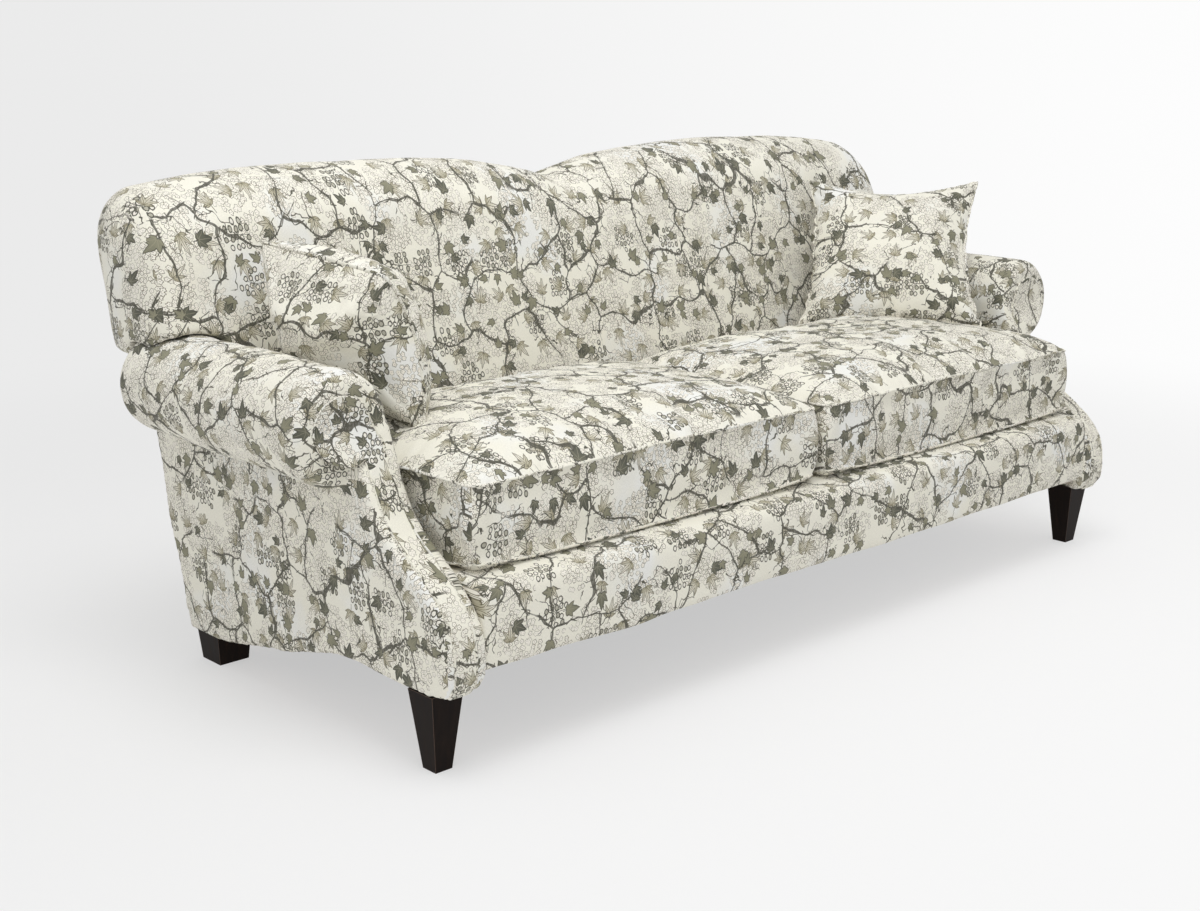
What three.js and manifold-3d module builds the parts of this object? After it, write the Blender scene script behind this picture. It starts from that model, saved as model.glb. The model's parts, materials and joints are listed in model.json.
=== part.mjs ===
// English roll arm sofa: a sprung hardwood frame, a tight double-hump back with ears that lie over
// rolled scroll arms, two box-edge seat cushions, two knife-edge scatter cushions and tapered legs.
// Millimetres, +Z up, sitters face -Y. Y is first measured from the front face of the front feet,
// and the whole sofa is moved at the end so that its origin is the middle of its underside.

import * as THREE from 'three';
import Module from 'manifold-3d';
import { mergeVertices } from 'three/addons/utils/BufferGeometryUtils.js';

const wasm = await Module();
wasm.setup();

// Fits
const gap = 0.3;                  // between pieces that seat on each other
const looseGap = 1.5;             // between a loose cushion and what stands beside it
const overrun = 60;               // how far a cutting solid passes the piece it cuts
const bevelSteps = 4;             // facets round a bevelled edge
const curveSteps = 18;            // facets round a drawn curve

// Arms
const seatHalfWidth = 905;        // centre line to the inside face of an arm
const armThickness = 87;          // inside face to outside face, below the roll
const rollRadius = 100;
const rollHeight = 559;           // axis of the arm roll
const rollFront = 190;            // front plane of the scroll
const rollBorder = 27;            // soft round border of the scroll front
const rollRearBorder = 34;
const armNose = 60;               // the foot of the arm stands this far before the front feet
const armEdge = 17;               // soft round edge down each side of the arm front
const armFrontPad = 30;           // padding before the arm stump
const armInsidePad = 24.7;        // padding on the inside of the arm timbers
const outsidePanelThickness = 12;
const outsidePanelClear = 1.2;    // outside panel to the roll above it
const facingArch = 58;            // radius of the arched head of the facing
const facingInset = 27;           // facing edge to the inside face of the arm
const facingOuterInset = 16;
const facingThickness = 5;
const facingHeadShare = 0.8;      // share of half a turn at which the facing's arch ends
const scrollCoreRadius = 52;      // timber head under the padding of the roll
const scrollCoreDrop = 64;        // axis of the roll down to the flat underside of the arm rail
const scrollHeadShare = 0.82;     // share of half a turn at which the timber head meets the inside

// Hems and heights
const frontHem = 143;             // lower edge of the sides, level over the front legs
const rearHem = 62;               // lower edge of the sides and back at the rear legs
const borderHem = 174;            // lower edge of the front border
const borderTopPad = 21.7;        // padding of the front border over its rail
const borderOverhang = 55;        // front border before the front feet
const borderPad = 40;
const borderRound = 42;           // reach of the soft shoulder, forward and down
const borderEase = 10;            // how close its curve runs to the corner
const borderReturn = 85;          // how far the border runs back over the front rail
const borderRoll = 7;             // soft lower edge of the border
const hemLevelEnd = 230;          // the level front part of the side hem ends here
const hemRearStart = 668;         // the level rear part of the side hem starts here

// Back
const backFoot = 763;             // rear face of the back at the rear hem
const backRakeSlope = 0.238;      // lean of the outside back
const backFaceSlope = 0.2955;     // lean of the inside back
const backFaceFoot = 592;         // inside back behind the seat cushions
const backFaceBend = 470;         // height at which the inside back starts to lean
const backEndReach = 167;         // end of the back past the inside face of an arm
const backCornerRadius = 105;
const backEndRound = 62;
const backPeak = 941;
const backNotch = 888;
const backCrown = 106;            // height of the rounded top edge of the back
const backBottom = 330;
const backTopPad = 112;           // padding over the top rail
const earBottom = 610;            // lower edge of the ears behind the arm rolls
const backEndShare = 0.47;        // share of half a turn that an end of the back rounds through
const backEndPower = 2.4;         // squareness of that round
const backSpreadPower = 1.15;     // draws the stations of the back towards its middle

// Timber
const railThickness = 34.7;
const sideRailThickness = 48;
const railTop = 296;
const backFrameDepth = 100;
const backRailDepth = 45;
const backBottomRailHeight = 61;
const backBottomRailLift = 3;     // bottom rail above the hem of the back
const backLowerRailBottom = 344;
const backLowerRailHeight = 46;
const backTopRailBottom = 720;
const backTopRailClear = 3;       // top rail below the padding that it carries
const backCentrePostWidth = 48;
const backCentrePostDepth = 60;
const rearSeatRailFront = 602;
const rearSeatRailBottom = 200;
const centreRailWidth = 45;
const centreRailHeight = 52;
const armLowerRailBottom = 338;
const armLowerRailHeight = 42;
const armLowerRailWidth = 24;
const stumpTopDepth = 62;
const stumpFootSpread = 36;       // foot of the stump behind its top
const cornerBlockLeg = 92;
const cornerBlockBottom = 188;

// Springs and webbing
const springCount = 5;
const springWire = 4;
const springHalfWidth = 24;
const springHalfWaves = 20;
const springRise = 9;
const springDrop = 3;             // clearance from the crest of a spring to the deck
const springSquareness = 0.6;     // under 1 the bends of the zigzag are squarer
const springSteps = 3;            // steps in each half wave
const webbingCount = 4;
const webbingWidth = 56;
const webbingThickness = 3;
const webbingLap = 46;

// Deck and dust cover
const deckThickness = 31.4;
const dustCoverThickness = 1.4;

// Legs
const frontLegFoot = 35;
const frontLegTop = 66;
const frontLegInset = 34;         // leg axis to the outside face of the arm
const rearLegFoot = 64;
const rearLegTop = 75;
const rearLegInset = 47;
const rearLegSetback = 51;        // leg axis before the foot of the back
const boltRadius = 4;
const boltBite = 28;              // length of a bolt in the leg, and again in the rail
const boltSides = 12;

// Seat cushions
const cushionFront = -16;
const cushionRear = 582;
const cushionBelly = 12;          // rounding under the lower seam
const cushionBoxing = 138;        // height of the boxing between its seams
const cushionCrown = 56;
const cushionBulge = 9;           // how far the boxing swells between its seams
const cushionDrawIn = 7;          // how far the seams pull in between the corners
const cushionCorner = 32;         // radius of the corners of the outline
const cushionFullPower = 2.4;     // how flat the crown is over the middle
const cushionEasePower = 0.8;     // how steeply it meets the seam
const undersideInset = 13;        // lower face inside the outline of the boxing
const coverThickness = 9;
const coreEdgeInset = 34;         // foam core inside the outline of its cover
const coreHeadroom = 8;           // crown of the cover above its seam that the core reaches
const coreChamfer = 16;
const zipLength = 560;
const zipWidth = 26;
const zipDrop = 20;               // zip centre below the middle of the boxing
const zipTapeSetback = 1;
const sliderLength = 16;
const sliderWidth = 9;
const sliderThickness = 4;
const sliderEndClear = 14;

// Scatter cushions
const scatterHalf = 207;          // centre to a pointed corner, along a side
const scatterPullShare = 0.105;   // share by which the sides curve in
const scatterThickness = 128;
const scatterFullPower = 0.9;     // under 1 the cushion is fuller towards its edges
const scatterEvenShare = 0.6;     // share of even spacing in its grid, the rest crowds to the edges
const scatterCover = 5;
const scatterPadShare = 0.9;
const scatterPadClear = 1.8;
const slitHalf = 1;
const scatterSteps = 14;
const fillSteps = 8;
const settleTravel = 90;          // how far a scatter cushion may sink to its rest
const settleSteps = 12;

// Where each scatter cushion leans. Its centre before it settles is measured from the inside face
// of the arm, from the foot of the inside back and from the crown of the seat. Then come, in
// degrees, the way it is turned and how far it leans back and bends over what it leans on. Then
// come the shares of its height and width that are left by its slump and the share of thickness
// that it gains, and last how far its upper front corner has sunk in.
const scatterRight = {
  fromArm: 146, fromBack: 174, overSeat: 181,
  turn: -53, lean: 38, bend: 5, tallShare: 1, wideShare: 1, plumpShare: 1, sunk: 0,
};
const scatterLeft = {
  fromArm: 106, fromBack: 162, overSeat: 158,
  turn: 98, lean: 10, bend: 60, tallShare: 0.82, wideShare: 0.84, plumpShare: 1.1, sunk: 66,
};
const sunkPower = 2;              // how close to the corner it stays

// Derived places
const armOuter = seatHalfWidth + armThickness;
const rollAxis = seatHalfWidth + rollRadius;
const timberInner = seatHalfWidth + armInsidePad + gap;
const timberOuter = timberInner + sideRailThickness;
const panelInner = armOuter - outsidePanelThickness;
const borderFront = -borderOverhang;
const borderShoulder = railTop + gap + borderTopPad;
const railFront = borderFront + borderPad + gap;
const railBack = railFront + railThickness;
const deckTop = railTop + gap + deckThickness;
const cushionBottom = deckTop + gap;
const cushionBottomSeam = cushionBottom + cushionBelly;
const cushionTopSeam = cushionBottomSeam + cushionBoxing;
const innerSpan = timberInner - gap;
const backHalfWidth = seatHalfWidth + backEndReach;
const backPlaneInset = outsidePanelThickness + gap;
const postFront = backPlaneInset + backFrameDepth;
const webbingFace = postFront + gap;
const coreBottom = rollHeight - scrollCoreDrop;
const frontLegHeight = frontHem - gap;
const rearLegHeight = rearHem - gap;

const backRear = (z) => backFoot + (z - rearHem) * backRakeSlope;
const backFace = (z) => backFaceFoot + Math.max(0, z - backFaceBend) * backFaceSlope;
const armRailRear = backRear(coreBottom) - postFront - gap;
const rollRear = armRailRear + gap + rollRearBorder;    // under the ear of the back

// Geometry helpers

const right = new THREE.Vector3(1, 0, 0);
const rearward = new THREE.Vector3(0, 1, 0);
const up = new THREE.Vector3(0, 0, 1);
const axes = {
  x: new THREE.Matrix4().makeBasis(rearward, up, right),
  y: new THREE.Matrix4().makeBasis(right, up, rearward.clone().negate()),
  z: new THREE.Matrix4(),
};

// A flat outline pushed along one axis: [y, z] points along X, [x, z] along Y, [x, y] along Z.
function prism(axis, outline, from, to, bevel = 0) {
  const drawn = outline instanceof THREE.Shape;
  const shape = drawn ? outline : new THREE.Shape(outline.map(([u, v]) => new THREE.Vector2(u, v)));
  const geometry = new THREE.ExtrudeGeometry(shape, {
    depth: to - from - 2 * bevel,
    bevelEnabled: bevel > 0,
    bevelThickness: bevel,
    bevelSize: bevel,
    bevelOffset: -bevel,
    bevelSegments: bevelSteps,
    curveSegments: curveSteps,
  });
  geometry.translate(0, 0, bevel);
  geometry.applyMatrix4(axes[axis]);
  geometry.translate(axis === 'x' ? from : 0, axis === 'y' ? to : 0, axis === 'z' ? from : 0);
  return geometry;
}

function box(x0, x1, y0, y1, z0, z1) {
  const geometry = new THREE.BoxGeometry(x1 - x0, y1 - y0, z1 - z0);
  geometry.translate((x0 + x1) / 2, (y0 + y1) / 2, (z0 + z1) / 2);
  return geometry;
}

// Closed rings of points joined in order. Both ends are closed flat.
function loft(rings) {
  const count = rings[0].length;
  const positions = rings.flat().flatMap((p) => [p.x, p.y, p.z]);
  const indices = [];
  for (let r = 0; r < rings.length - 1; r += 1) {
    for (let i = 0; i < count; i += 1) {
      const a = r * count + i;
      const b = r * count + (i + 1) % count;
      indices.push(a, b, b + count, a, b + count, a + count);
    }
  }
  const lastRing = (rings.length - 1) * count;
  for (const [a, b, c] of capFaces(rings[0])) {
    indices.push(a, c, b);
  }
  for (const [a, b, c] of capFaces(rings[rings.length - 1])) {
    indices.push(lastRing + a, lastRing + b, lastRing + c);
  }
  const geometry = new THREE.BufferGeometry();
  geometry.setAttribute('position', new THREE.Float32BufferAttribute(positions, 3));
  geometry.setIndex(indices);
  return facingOut(geometry);
}

// Triangles over a ring, turned the way the ring runs, in the plane that it faces most squarely.
function capFaces(ring) {
  const area = new THREE.Vector3();
  ring.forEach((p, i) => area.add(new THREE.Vector3().crossVectors(p, ring[(i + 1) % ring.length])));
  const across = Math.abs(area.x) > Math.abs(area.z) ? ['y', 'z'] : ['x', 'y'];
  const flat = ring.map((p) => new THREE.Vector2(p[across[0]], p[across[1]]));
  const turns = Math.sign(THREE.ShapeUtils.area(flat));
  return THREE.ShapeUtils.triangulateShape(flat, []).map(([p, q, r]) => (
    Math.sign(THREE.ShapeUtils.area([flat[p], flat[q], flat[r]])) === turns ? [p, q, r] : [p, r, q]
  ));
}

function signedVolume(geometry) {
  const position = geometry.getAttribute('position');
  const index = geometry.index;
  const corners = [new THREE.Vector3(), new THREE.Vector3(), new THREE.Vector3()];
  let volume = 0;
  for (let i = 0; i < index.count; i += 3) {
    corners.forEach((corner, k) => corner.fromBufferAttribute(position, index.getX(i + k)));
    volume += corners[0].dot(corners[1].clone().cross(corners[2])) / 6;
  }
  return volume;
}

function facingOut(geometry) {
  if (signedVolume(geometry) < 0) {
    turnFaces(geometry);
  }
  return geometry;
}

function turnFaces(geometry) {
  const index = geometry.index;
  for (let i = 0; i < index.count; i += 3) {
    const swap = index.getX(i);
    index.setX(i, index.getX(i + 1));
    index.setX(i + 1, swap);
  }
}

function bare(geometry) {
  const copy = geometry.clone();
  copy.deleteAttribute('normal');
  copy.deleteAttribute('uv');
  return mergeVertices(copy, 1e-4);
}

function mirrored(geometry) {
  const copy = bare(geometry);
  copy.scale(-1, 1, 1);
  turnFaces(copy);
  return copy;
}

// Moves each level of a piece back with the lean of the outside back.
function raked(geometry) {
  const lean = new THREE.Matrix4().makeShear(0, 0, 0, 0, 0, backRakeSlope);
  lean.setPosition(0, backRear(0), 0);
  return geometry.applyMatrix4(lean);
}

function solid(geometry) {
  const clean = bare(geometry);
  return new wasm.Manifold(new wasm.Mesh({
    numProp: 3,
    vertProperties: new Float32Array(clean.getAttribute('position').array),
    triVerts: new Uint32Array(clean.index.array),
  }));
}

function geometryOf(body) {
  const mesh = body.getMesh();
  const geometry = new THREE.BufferGeometry();
  geometry.setAttribute('position', new THREE.Float32BufferAttribute(mesh.vertProperties, 3));
  geometry.setIndex(Array.from(mesh.triVerts));
  return geometry;
}

function cut(geometry, ...tools) {
  return geometryOf(tools.reduce((body, tool) => body.subtract(solid(tool)), solid(geometry)));
}

function join(first, ...others) {
  return geometryOf(others.reduce((body, other) => body.add(solid(other)), solid(first)));
}

function common(first, second) {
  return geometryOf(solid(first).intersect(solid(second)));
}

const sofa = new THREE.Group();

const finishes = {
  print: { color: 0xe9e4d3, roughness: 0.9, metalness: 0 },
  lining: { color: 0xd8d2c2, roughness: 0.95, metalness: 0 },
  foam: { color: 0xf0e8cf, roughness: 1, metalness: 0 },
  beech: { color: 0xc9a77a, roughness: 0.7, metalness: 0 },
  espresso: { color: 0x221814, roughness: 0.45, metalness: 0 },
  steel: { color: 0x8f9296, roughness: 0.4, metalness: 1 },
  webbing: { color: 0x9d8f74, roughness: 0.9, metalness: 0 },
  dustCloth: { color: 0x2b2a29, roughness: 0.95, metalness: 0 },
};

function add(name, finish, geometry, parent = sofa) {
  const shaped = bare(geometry);
  shaped.computeVertexNormals();
  const mesh = new THREE.Mesh(shaped, new THREE.MeshStandardMaterial(finishes[finish]));
  mesh.name = name;
  parent.add(mesh);
  return mesh;
}

function addPair(name, finish, geometry) {
  add(`${name}_right`, finish, geometry);
  add(`${name}_left`, finish, mirrored(geometry));
}

// Side outlines, shared by the arm, its timbers and its outside panel

// Front of the arm from its hem to the axis of the roll: shares of its depth and of its height.
const armFrontShares = [
  [0.08, 0], [0.012, 0.045], [0, 0.13], [0.016, 0.25], [0.088, 0.344], [0.208, 0.416], [0.384, 0.49],
  [0.56, 0.556], [0.688, 0.629], [0.8, 0.729], [0.896, 0.846], [0.96, 0.931], [1, 1],
];
const armFrontSteps = 16;

// The front curve of the arm, moved inwards by a padding thickness.
function armFront(inset) {
  const depth = rollFront + armNose;
  const height = rollHeight - frontHem;
  const curve = new THREE.SplineCurve(armFrontShares.map(([y, z]) => (
    new THREE.Vector2(y * depth - armNose, frontHem + z * height)
  )));
  return curve.getSpacedPoints(armFrontSteps).map((point, i) => {
    const along = curve.getTangentAt(i / armFrontSteps);
    return [point.x + along.y * inset, point.y - along.x * inset];
  });
}

// The same curve kept between two heights, for a timber that starts and ends level.
function armFrontBetween(inset, low, high) {
  const points = armFront(inset);
  const at = (z) => {
    const next = points.findIndex((p) => p[1] >= z);
    if (next <= 0) {
      return [points[next < 0 ? points.length - 1 : 0][0], z];
    }
    const [y0, z0] = points[next - 1];
    const [y1, z1] = points[next];
    return [y0 + (y1 - y0) * (z - z0) / (z1 - z0), z];
  };
  return [at(low), ...points.filter((p) => p[1] > low + gap && p[1] < high - gap), at(high)];
}

// Lower edge of the side from front to rear: shares of the sloping length and of the drop.
const hemShares = [[0, 0], [0.13, 0.07], [0.32, 0.34], [0.7, 0.75], [0.9, 0.965], [1, 1]];
const hemSteps = 7;

function hem() {
  const length = hemRearStart - hemLevelEnd;
  const drop = frontHem - rearHem;
  const curve = new THREE.SplineCurve(hemShares.map(([y, z]) => (
    new THREE.Vector2(hemLevelEnd + y * length, frontHem - z * drop)
  )));
  return curve.getPoints(hemSteps).map((p) => [p.x, p.y]);
}

const rearAt = (z, inset = 0) => [backRear(z) - inset, z];

// Arms

// Timber head of the arm rail in [x, z]: a flat neck that swells into the round of the scroll.
function scrollCore(grow) {
  const radius = scrollCoreRadius + grow;
  const inner = timberInner - grow;
  const outer = timberOuter + grow;
  const shape = new THREE.Shape();
  const startAngle = -Math.PI + Math.acos((rollAxis - outer) / radius);
  const endAngle = Math.PI * scrollHeadShare;
  shape.moveTo(inner, coreBottom - grow);
  shape.lineTo(outer, coreBottom - grow);
  shape.lineTo(outer, rollHeight + radius * Math.sin(startAngle));
  shape.absarc(rollAxis, rollHeight, radius, startAngle, endAngle, false);
  shape.lineTo(inner, rollHeight);
  return shape;
}

// Body of the arm below the axis of the roll, with a soft edge down both sides of its front.
function armNeck() {
  const edgeSteps = 4;
  const stations = [];
  for (let i = 0; i <= edgeSteps; i += 1) {
    const angle = (i / edgeSteps) * Math.PI / 2;
    stations.push([armEdge * (1 - Math.cos(angle)), armEdge * (1 - Math.sin(angle))]);
  }
  const inner = stations.map(([x, inset]) => [seatHalfWidth + x, inset]);
  const outer = stations.map(([x, inset]) => [armOuter - x, inset]).reverse();
  const rear = [rearAt(earBottom - gap), rearAt(rearHem), ...hem().reverse()];
  const top = [[rollRear - rollRearBorder, rollHeight], [rollRear - rollRearBorder, earBottom - gap]];
  return loft([...inner, ...outer].map(([x, inset]) => (
    [...armFront(inset), ...top, ...rear].map(([y, z]) => new THREE.Vector3(x, y, z))
  )));
}

function armRoll() {
  const disc = new THREE.Shape();
  disc.absarc(rollAxis, rollHeight, rollRadius, 0, Math.PI * 2, false);
  return prism('y', disc, rollFront, rollRear, rollBorder);
}

// Outline of the outside arm panel in [y, z], grown by a clearance and run past its free edges.
function outsidePanelOutline(grow, past) {
  const underRoll = rollHeight - Math.sqrt(rollRadius ** 2 - (rollAxis - panelInner) ** 2);
  const top = underRoll - outsidePanelClear + grow;
  const upper = earBottom - gap * 2 + grow + past;
  return [
    ...armFrontBetween(armFrontPad + gap - grow, frontHem - past, top),
    [rollRear + gap - grow, top],
    [rollRear + gap - grow, upper],
    rearAt(upper, -past),
    rearAt(rearHem - past, -past),
    ...hem().reverse().map(([y, z]) => [y, z - past]),
  ];
}

// The facing's outline in [x, z]: straight sides that open into an arched head round the roll axis.
function facingOutline(grow) {
  const inner = seatHalfWidth + facingInset - grow;
  const outer = armOuter - facingOuterInset + grow;
  const radius = facingArch + grow;
  const shape = new THREE.Shape();
  shape.moveTo(inner, frontHem - overrun);
  shape.lineTo(outer, frontHem - overrun);
  const startAngle = -Math.PI + Math.acos((rollAxis - outer) / radius);
  shape.absarc(rollAxis, rollHeight, radius, startAngle, Math.PI * facingHeadShare, false);
  shape.lineTo(inner, rollHeight - facingArch / 2);
  return shape;
}

function armFacing() {
  const head = rollHeight + rollRadius;
  const band = [
    ...armFront(0),
    [rollFront, head],
    [rollFront + facingThickness, head],
    ...armFront(facingThickness).reverse(),
  ];
  return common(
    prism('x', band, seatHalfWidth - overrun, rollAxis + rollRadius + overrun),
    prism('y', facingOutline(0), -armNose - overrun, rollRear),
  );
}

// Everything before the seat of the facing, within the facing's outline.
function facingRecess() {
  const depth = facingThickness + 2 * gap;
  const seat = armFront(depth);
  const before = -armNose - overrun;
  const front = [
    [seat[0][0], -overrun],
    ...seat,
    [rollFront + depth, rollHeight + rollRadius],
    [before, rollHeight + rollRadius],
    [before, -overrun],
  ];
  return common(
    prism('x', front, seatHalfWidth - overrun, rollAxis + rollRadius + overrun),
    prism('y', facingOutline(gap), before - overrun, rollRear),
  );
}

function armPad() {
  const front = armFrontBetween(armFrontPad, -overrun, coreBottom);
  const timberSlot = [...front, [backFoot + armOuter, coreBottom], [backFoot + armOuter, -overrun]];
  const inside = seatHalfWidth - overrun;
  const head = earBottom + overrun;
  const frameSpace = [[inside, -overrun], [panelInner, -overrun], [panelInner, head], [inside, head]];
  return cut(
    join(armNeck(), armRoll()),
    prism('x', timberSlot, timberInner - gap, panelInner),
    prism('y', scrollCore(gap), rollFront + armFrontPad - gap, rollRear - rollRearBorder),
    raked(prism('y', frameSpace, -webbingFace - webbingThickness - gap, overrun)),
    prism('x', outsidePanelOutline(gap, overrun), panelInner - gap, armOuter + overrun),
    box(inside, timberInner, railFront - gap, backFoot + overrun, -overrun, railTop + gap),
    facingRecess(),
  );
}

addPair('arm_pad', 'print', armPad());
addPair('arm_facing', 'print', armFacing());
addPair('outside_arm_panel', 'print', prism('x', outsidePanelOutline(0, 0), panelInner, armOuter));

// Arm timbers

function boltHole(x, y, z) {
  const radius = boltRadius + gap;
  const hole = new THREE.CylinderGeometry(radius, radius, 2 * (boltBite + gap), boltSides);
  hole.rotateX(Math.PI / 2);
  hole.translate(x, y, z);
  return hole;
}

const frontLegX = armOuter - frontLegInset;
const frontLegY = frontLegFoot / 2;
const rearLegX = armOuter - rearLegInset;
const rearLegY = backFoot - rearLegSetback;

function sideRail() {
  const outline = [
    ...armFrontBetween(armFrontPad + gap, frontHem, railTop),
    rearAt(railTop, postFront + gap),
    rearAt(rearHem + gap, postFront + gap),
    ...hem().reverse().filter(([y]) => y < backRear(rearHem) - postFront - gap),
  ];
  return cut(prism('x', outline, timberInner, timberOuter), boltHole(frontLegX, frontLegY, frontHem));
}

const stumpTop = coreBottom - gap;
const stumpFront = armFrontBetween(armFrontPad + gap, railTop + gap, stumpTop);
const stumpTopRear = stumpFront[stumpFront.length - 1][0] + stumpTopDepth;
const stumpFootRear = stumpTopRear + stumpFootSpread;

function armStump() {
  const outline = new THREE.Shape();
  outline.moveTo(stumpFront[0][0], stumpFront[0][1]);
  stumpFront.slice(1).forEach(([y, z]) => outline.lineTo(y, z));
  outline.lineTo(stumpTopRear, stumpTop);
  outline.quadraticCurveTo(stumpTopRear, railTop + gap, stumpFootRear, railTop + gap);
  return prism('x', outline, timberInner, timberOuter);
}

function armLowerRail() {
  const front = stumpFootRear + gap;
  const outline = [
    [front, armLowerRailBottom],
    rearAt(armLowerRailBottom, postFront + gap),
    rearAt(armLowerRailBottom + armLowerRailHeight, postFront + gap),
    [front, armLowerRailBottom + armLowerRailHeight],
  ];
  return prism('x', outline, timberInner, timberInner + armLowerRailWidth);
}

function backPost() {
  const top = backTopRailBottom - gap;
  const post = raked(box(timberInner, timberOuter, -postFront, -backPlaneInset, rearHem, top));
  return cut(post, boltHole(rearLegX, rearLegY, rearHem));
}

addPair('side_rail', 'beech', sideRail());
addPair('arm_stump', 'beech', armStump());
addPair('arm_top_rail', 'beech', prism('y', scrollCore(0), rollFront + armFrontPad, armRailRear));
addPair('arm_lower_rail', 'beech', armLowerRail());
addPair('back_post', 'beech', backPost());

// Seat frame

const seatRailRear = rearSeatRailFront + railThickness;
add('front_rail', 'beech', box(-innerSpan, innerSpan, railFront, railBack, borderHem + gap, railTop));
add('rear_seat_rail', 'beech', box(
  -innerSpan, innerSpan, rearSeatRailFront, seatRailRear, rearSeatRailBottom, railTop,
));
add('centre_rail', 'beech', box(
  -centreRailWidth / 2, centreRailWidth / 2,
  railBack + gap, rearSeatRailFront - gap,
  rearSeatRailBottom, rearSeatRailBottom + centreRailHeight,
));
const blockFront = railBack + gap;
const blockOutline = [
  [innerSpan, blockFront],
  [innerSpan, blockFront + cornerBlockLeg],
  [innerSpan - cornerBlockLeg, blockFront],
];
addPair('corner_block', 'beech', prism('z', blockOutline, cornerBlockBottom, railTop - springWire));

// Back frame, in [x, z] before the lean

// Top line of the back: shares of the straight part of its half width, and heights as shares
// of the rise from the notch to the peak.
const topLineShares = [
  [0, 0], [0.07, 0.28], [0.19, 0.68], [0.34, 0.91], [0.5, 1],
  [0.64, 1], [0.8, 0.93], [0.93, 0.82], [1, 0.735],
];
const topLineSteps = 60;
const topLine = new THREE.SplineCurve(topLineShares.map(([x, z]) => (
  new THREE.Vector2(x * (backHalfWidth - backCornerRadius), backNotch + z * (backPeak - backNotch))
)));
const topLinePoints = topLine.getPoints(topLineSteps);

function backTop(x) {
  const away = Math.abs(x);
  const straight = backHalfWidth - backCornerRadius;
  const end = topLinePoints[topLinePoints.length - 1].y;
  if (away >= straight) {
    const reach = Math.min(away - straight, backCornerRadius);
    return end - backCornerRadius + Math.sqrt(backCornerRadius ** 2 - reach ** 2);
  }
  const next = topLinePoints.findIndex((p) => p.x > away);
  const low = topLinePoints[next - 1];
  const high = topLinePoints[next];
  return low.y + (high.y - low.y) * (away - low.x) / (high.x - low.x);
}

// Outline under the top padding, from a level edge up to the humps.
function underTopPad(halfWidth, bottom, shrink) {
  const steps = 20;
  const top = [];
  for (let i = 0; i <= steps; i += 1) {
    const x = halfWidth * (1 - 2 * i / steps);
    top.push([x, backTop(x) - backTopPad - shrink]);
  }
  return [[-halfWidth, bottom], [halfWidth, bottom], ...top];
}

const railRear = -postFront + backRailDepth;
const topRailOutline = underTopPad(timberOuter, backTopRailBottom, backTopRailClear);
add('back_top_rail', 'beech', raked(prism('y', topRailOutline, -postFront, railRear)));
const lowerRailTop = backLowerRailBottom + backLowerRailHeight;
add('back_lower_rail', 'beech', raked(box(
  -innerSpan, innerSpan, -postFront, railRear, backLowerRailBottom, lowerRailTop,
)));
const bottomRailFront = -backPlaneInset - backRailDepth;
const bottomRailBottom = rearHem + backBottomRailLift;
add('back_bottom_rail', 'beech', raked(box(
  -innerSpan, innerSpan, bottomRailFront, -backPlaneInset,
  bottomRailBottom, bottomRailBottom + backBottomRailHeight,
)));
add('back_centre_post', 'beech', raked(box(
  -backCentrePostWidth / 2, backCentrePostWidth / 2, -postFront, -postFront + backCentrePostDepth,
  lowerRailTop + gap, backTopRailBottom - gap,
)));

for (let i = 0; i < webbingCount; i += 1) {
  const x = (i - (webbingCount - 1) / 2) * 2 * innerSpan / (webbingCount + 1);
  add(`back_webbing_${i + 1}`, 'webbing', raked(box(
    x - webbingWidth / 2, x + webbingWidth / 2,
    -webbingFace - webbingThickness, -webbingFace,
    backLowerRailBottom + gap, backTopRailBottom + webbingLap,
  )));
}

const outsideBackOutline = underTopPad(panelInner - gap, rearHem, gap);
add('back_outside_panel', 'print', raked(prism('y', outsideBackOutline, -outsidePanelThickness, 0)));

// Back padding

// One [y, z] section of the back, drawn in towards its middle by a share near the ends.
function backSection(x, fullness) {
  const top = backTop(x);
  const shoulder = top - backCrown;
  const crownSteps = 10;
  const lumbar = backFaceBend + backTopPad;
  const face = [backBottom, backFaceBend, lumbar, (lumbar + shoulder) / 2];
  const points = face.map((z) => [backFace(z), z]);
  for (let i = 0; i <= crownSteps; i += 1) {
    const angle = Math.PI * (1 - i / crownSteps);
    const z = shoulder + backCrown * Math.sin(angle);
    const middle = (backFace(z) + backRear(z)) / 2;
    const half = (backRear(z) - backFace(z)) / 2;
    points.push([middle + half * Math.cos(angle), z]);
  }
  points.push(rearAt(lumbar), rearAt(backBottom));
  return points.map(([y, z]) => {
    const middle = (backFace(z) + backRear(z)) / 2;
    return new THREE.Vector3(x, middle + (y - middle) * fullness, z);
  });
}

function backStations() {
  const straightSteps = 9;
  const endSteps = 6;
  const half = [];
  for (let i = 0; i < straightSteps; i += 1) {
    half.push([(backHalfWidth - backEndRound) * (i / straightSteps) ** backSpreadPower, 1]);
  }
  for (let i = 0; i <= endSteps; i += 1) {
    const share = Math.sin((i / endSteps) * Math.PI * backEndShare);
    const fullness = (1 - share ** backEndPower) ** (1 / backEndPower);
    half.push([backHalfWidth - backEndRound * (1 - share), fullness]);
  }
  return [...half.slice(1).reverse().map(([x, e]) => [-x, e]), ...half];
}

function backPad() {
  const body = loft(backStations().map(([x, fullness]) => backSection(x, fullness)));
  const armSpace = box(seatHalfWidth - gap, backHalfWidth + overrun, 0, backFoot * 2, 0, earBottom);
  const roll = new THREE.Shape();
  roll.absarc(rollAxis, rollHeight, rollRadius + gap, 0, Math.PI * 2, false);
  const rollSpace = prism('y', roll, rollFront, rollRear + gap);
  const pocketOutline = underTopPad(panelInner, backBottom - overrun, 0);
  const pocket = raked(prism('y', pocketOutline, -webbingFace - webbingThickness - gap, overrun));
  return cut(body, armSpace, mirrored(armSpace), rollSpace, mirrored(rollSpace), pocket);
}

add('back_pad', 'print', backPad());

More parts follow.
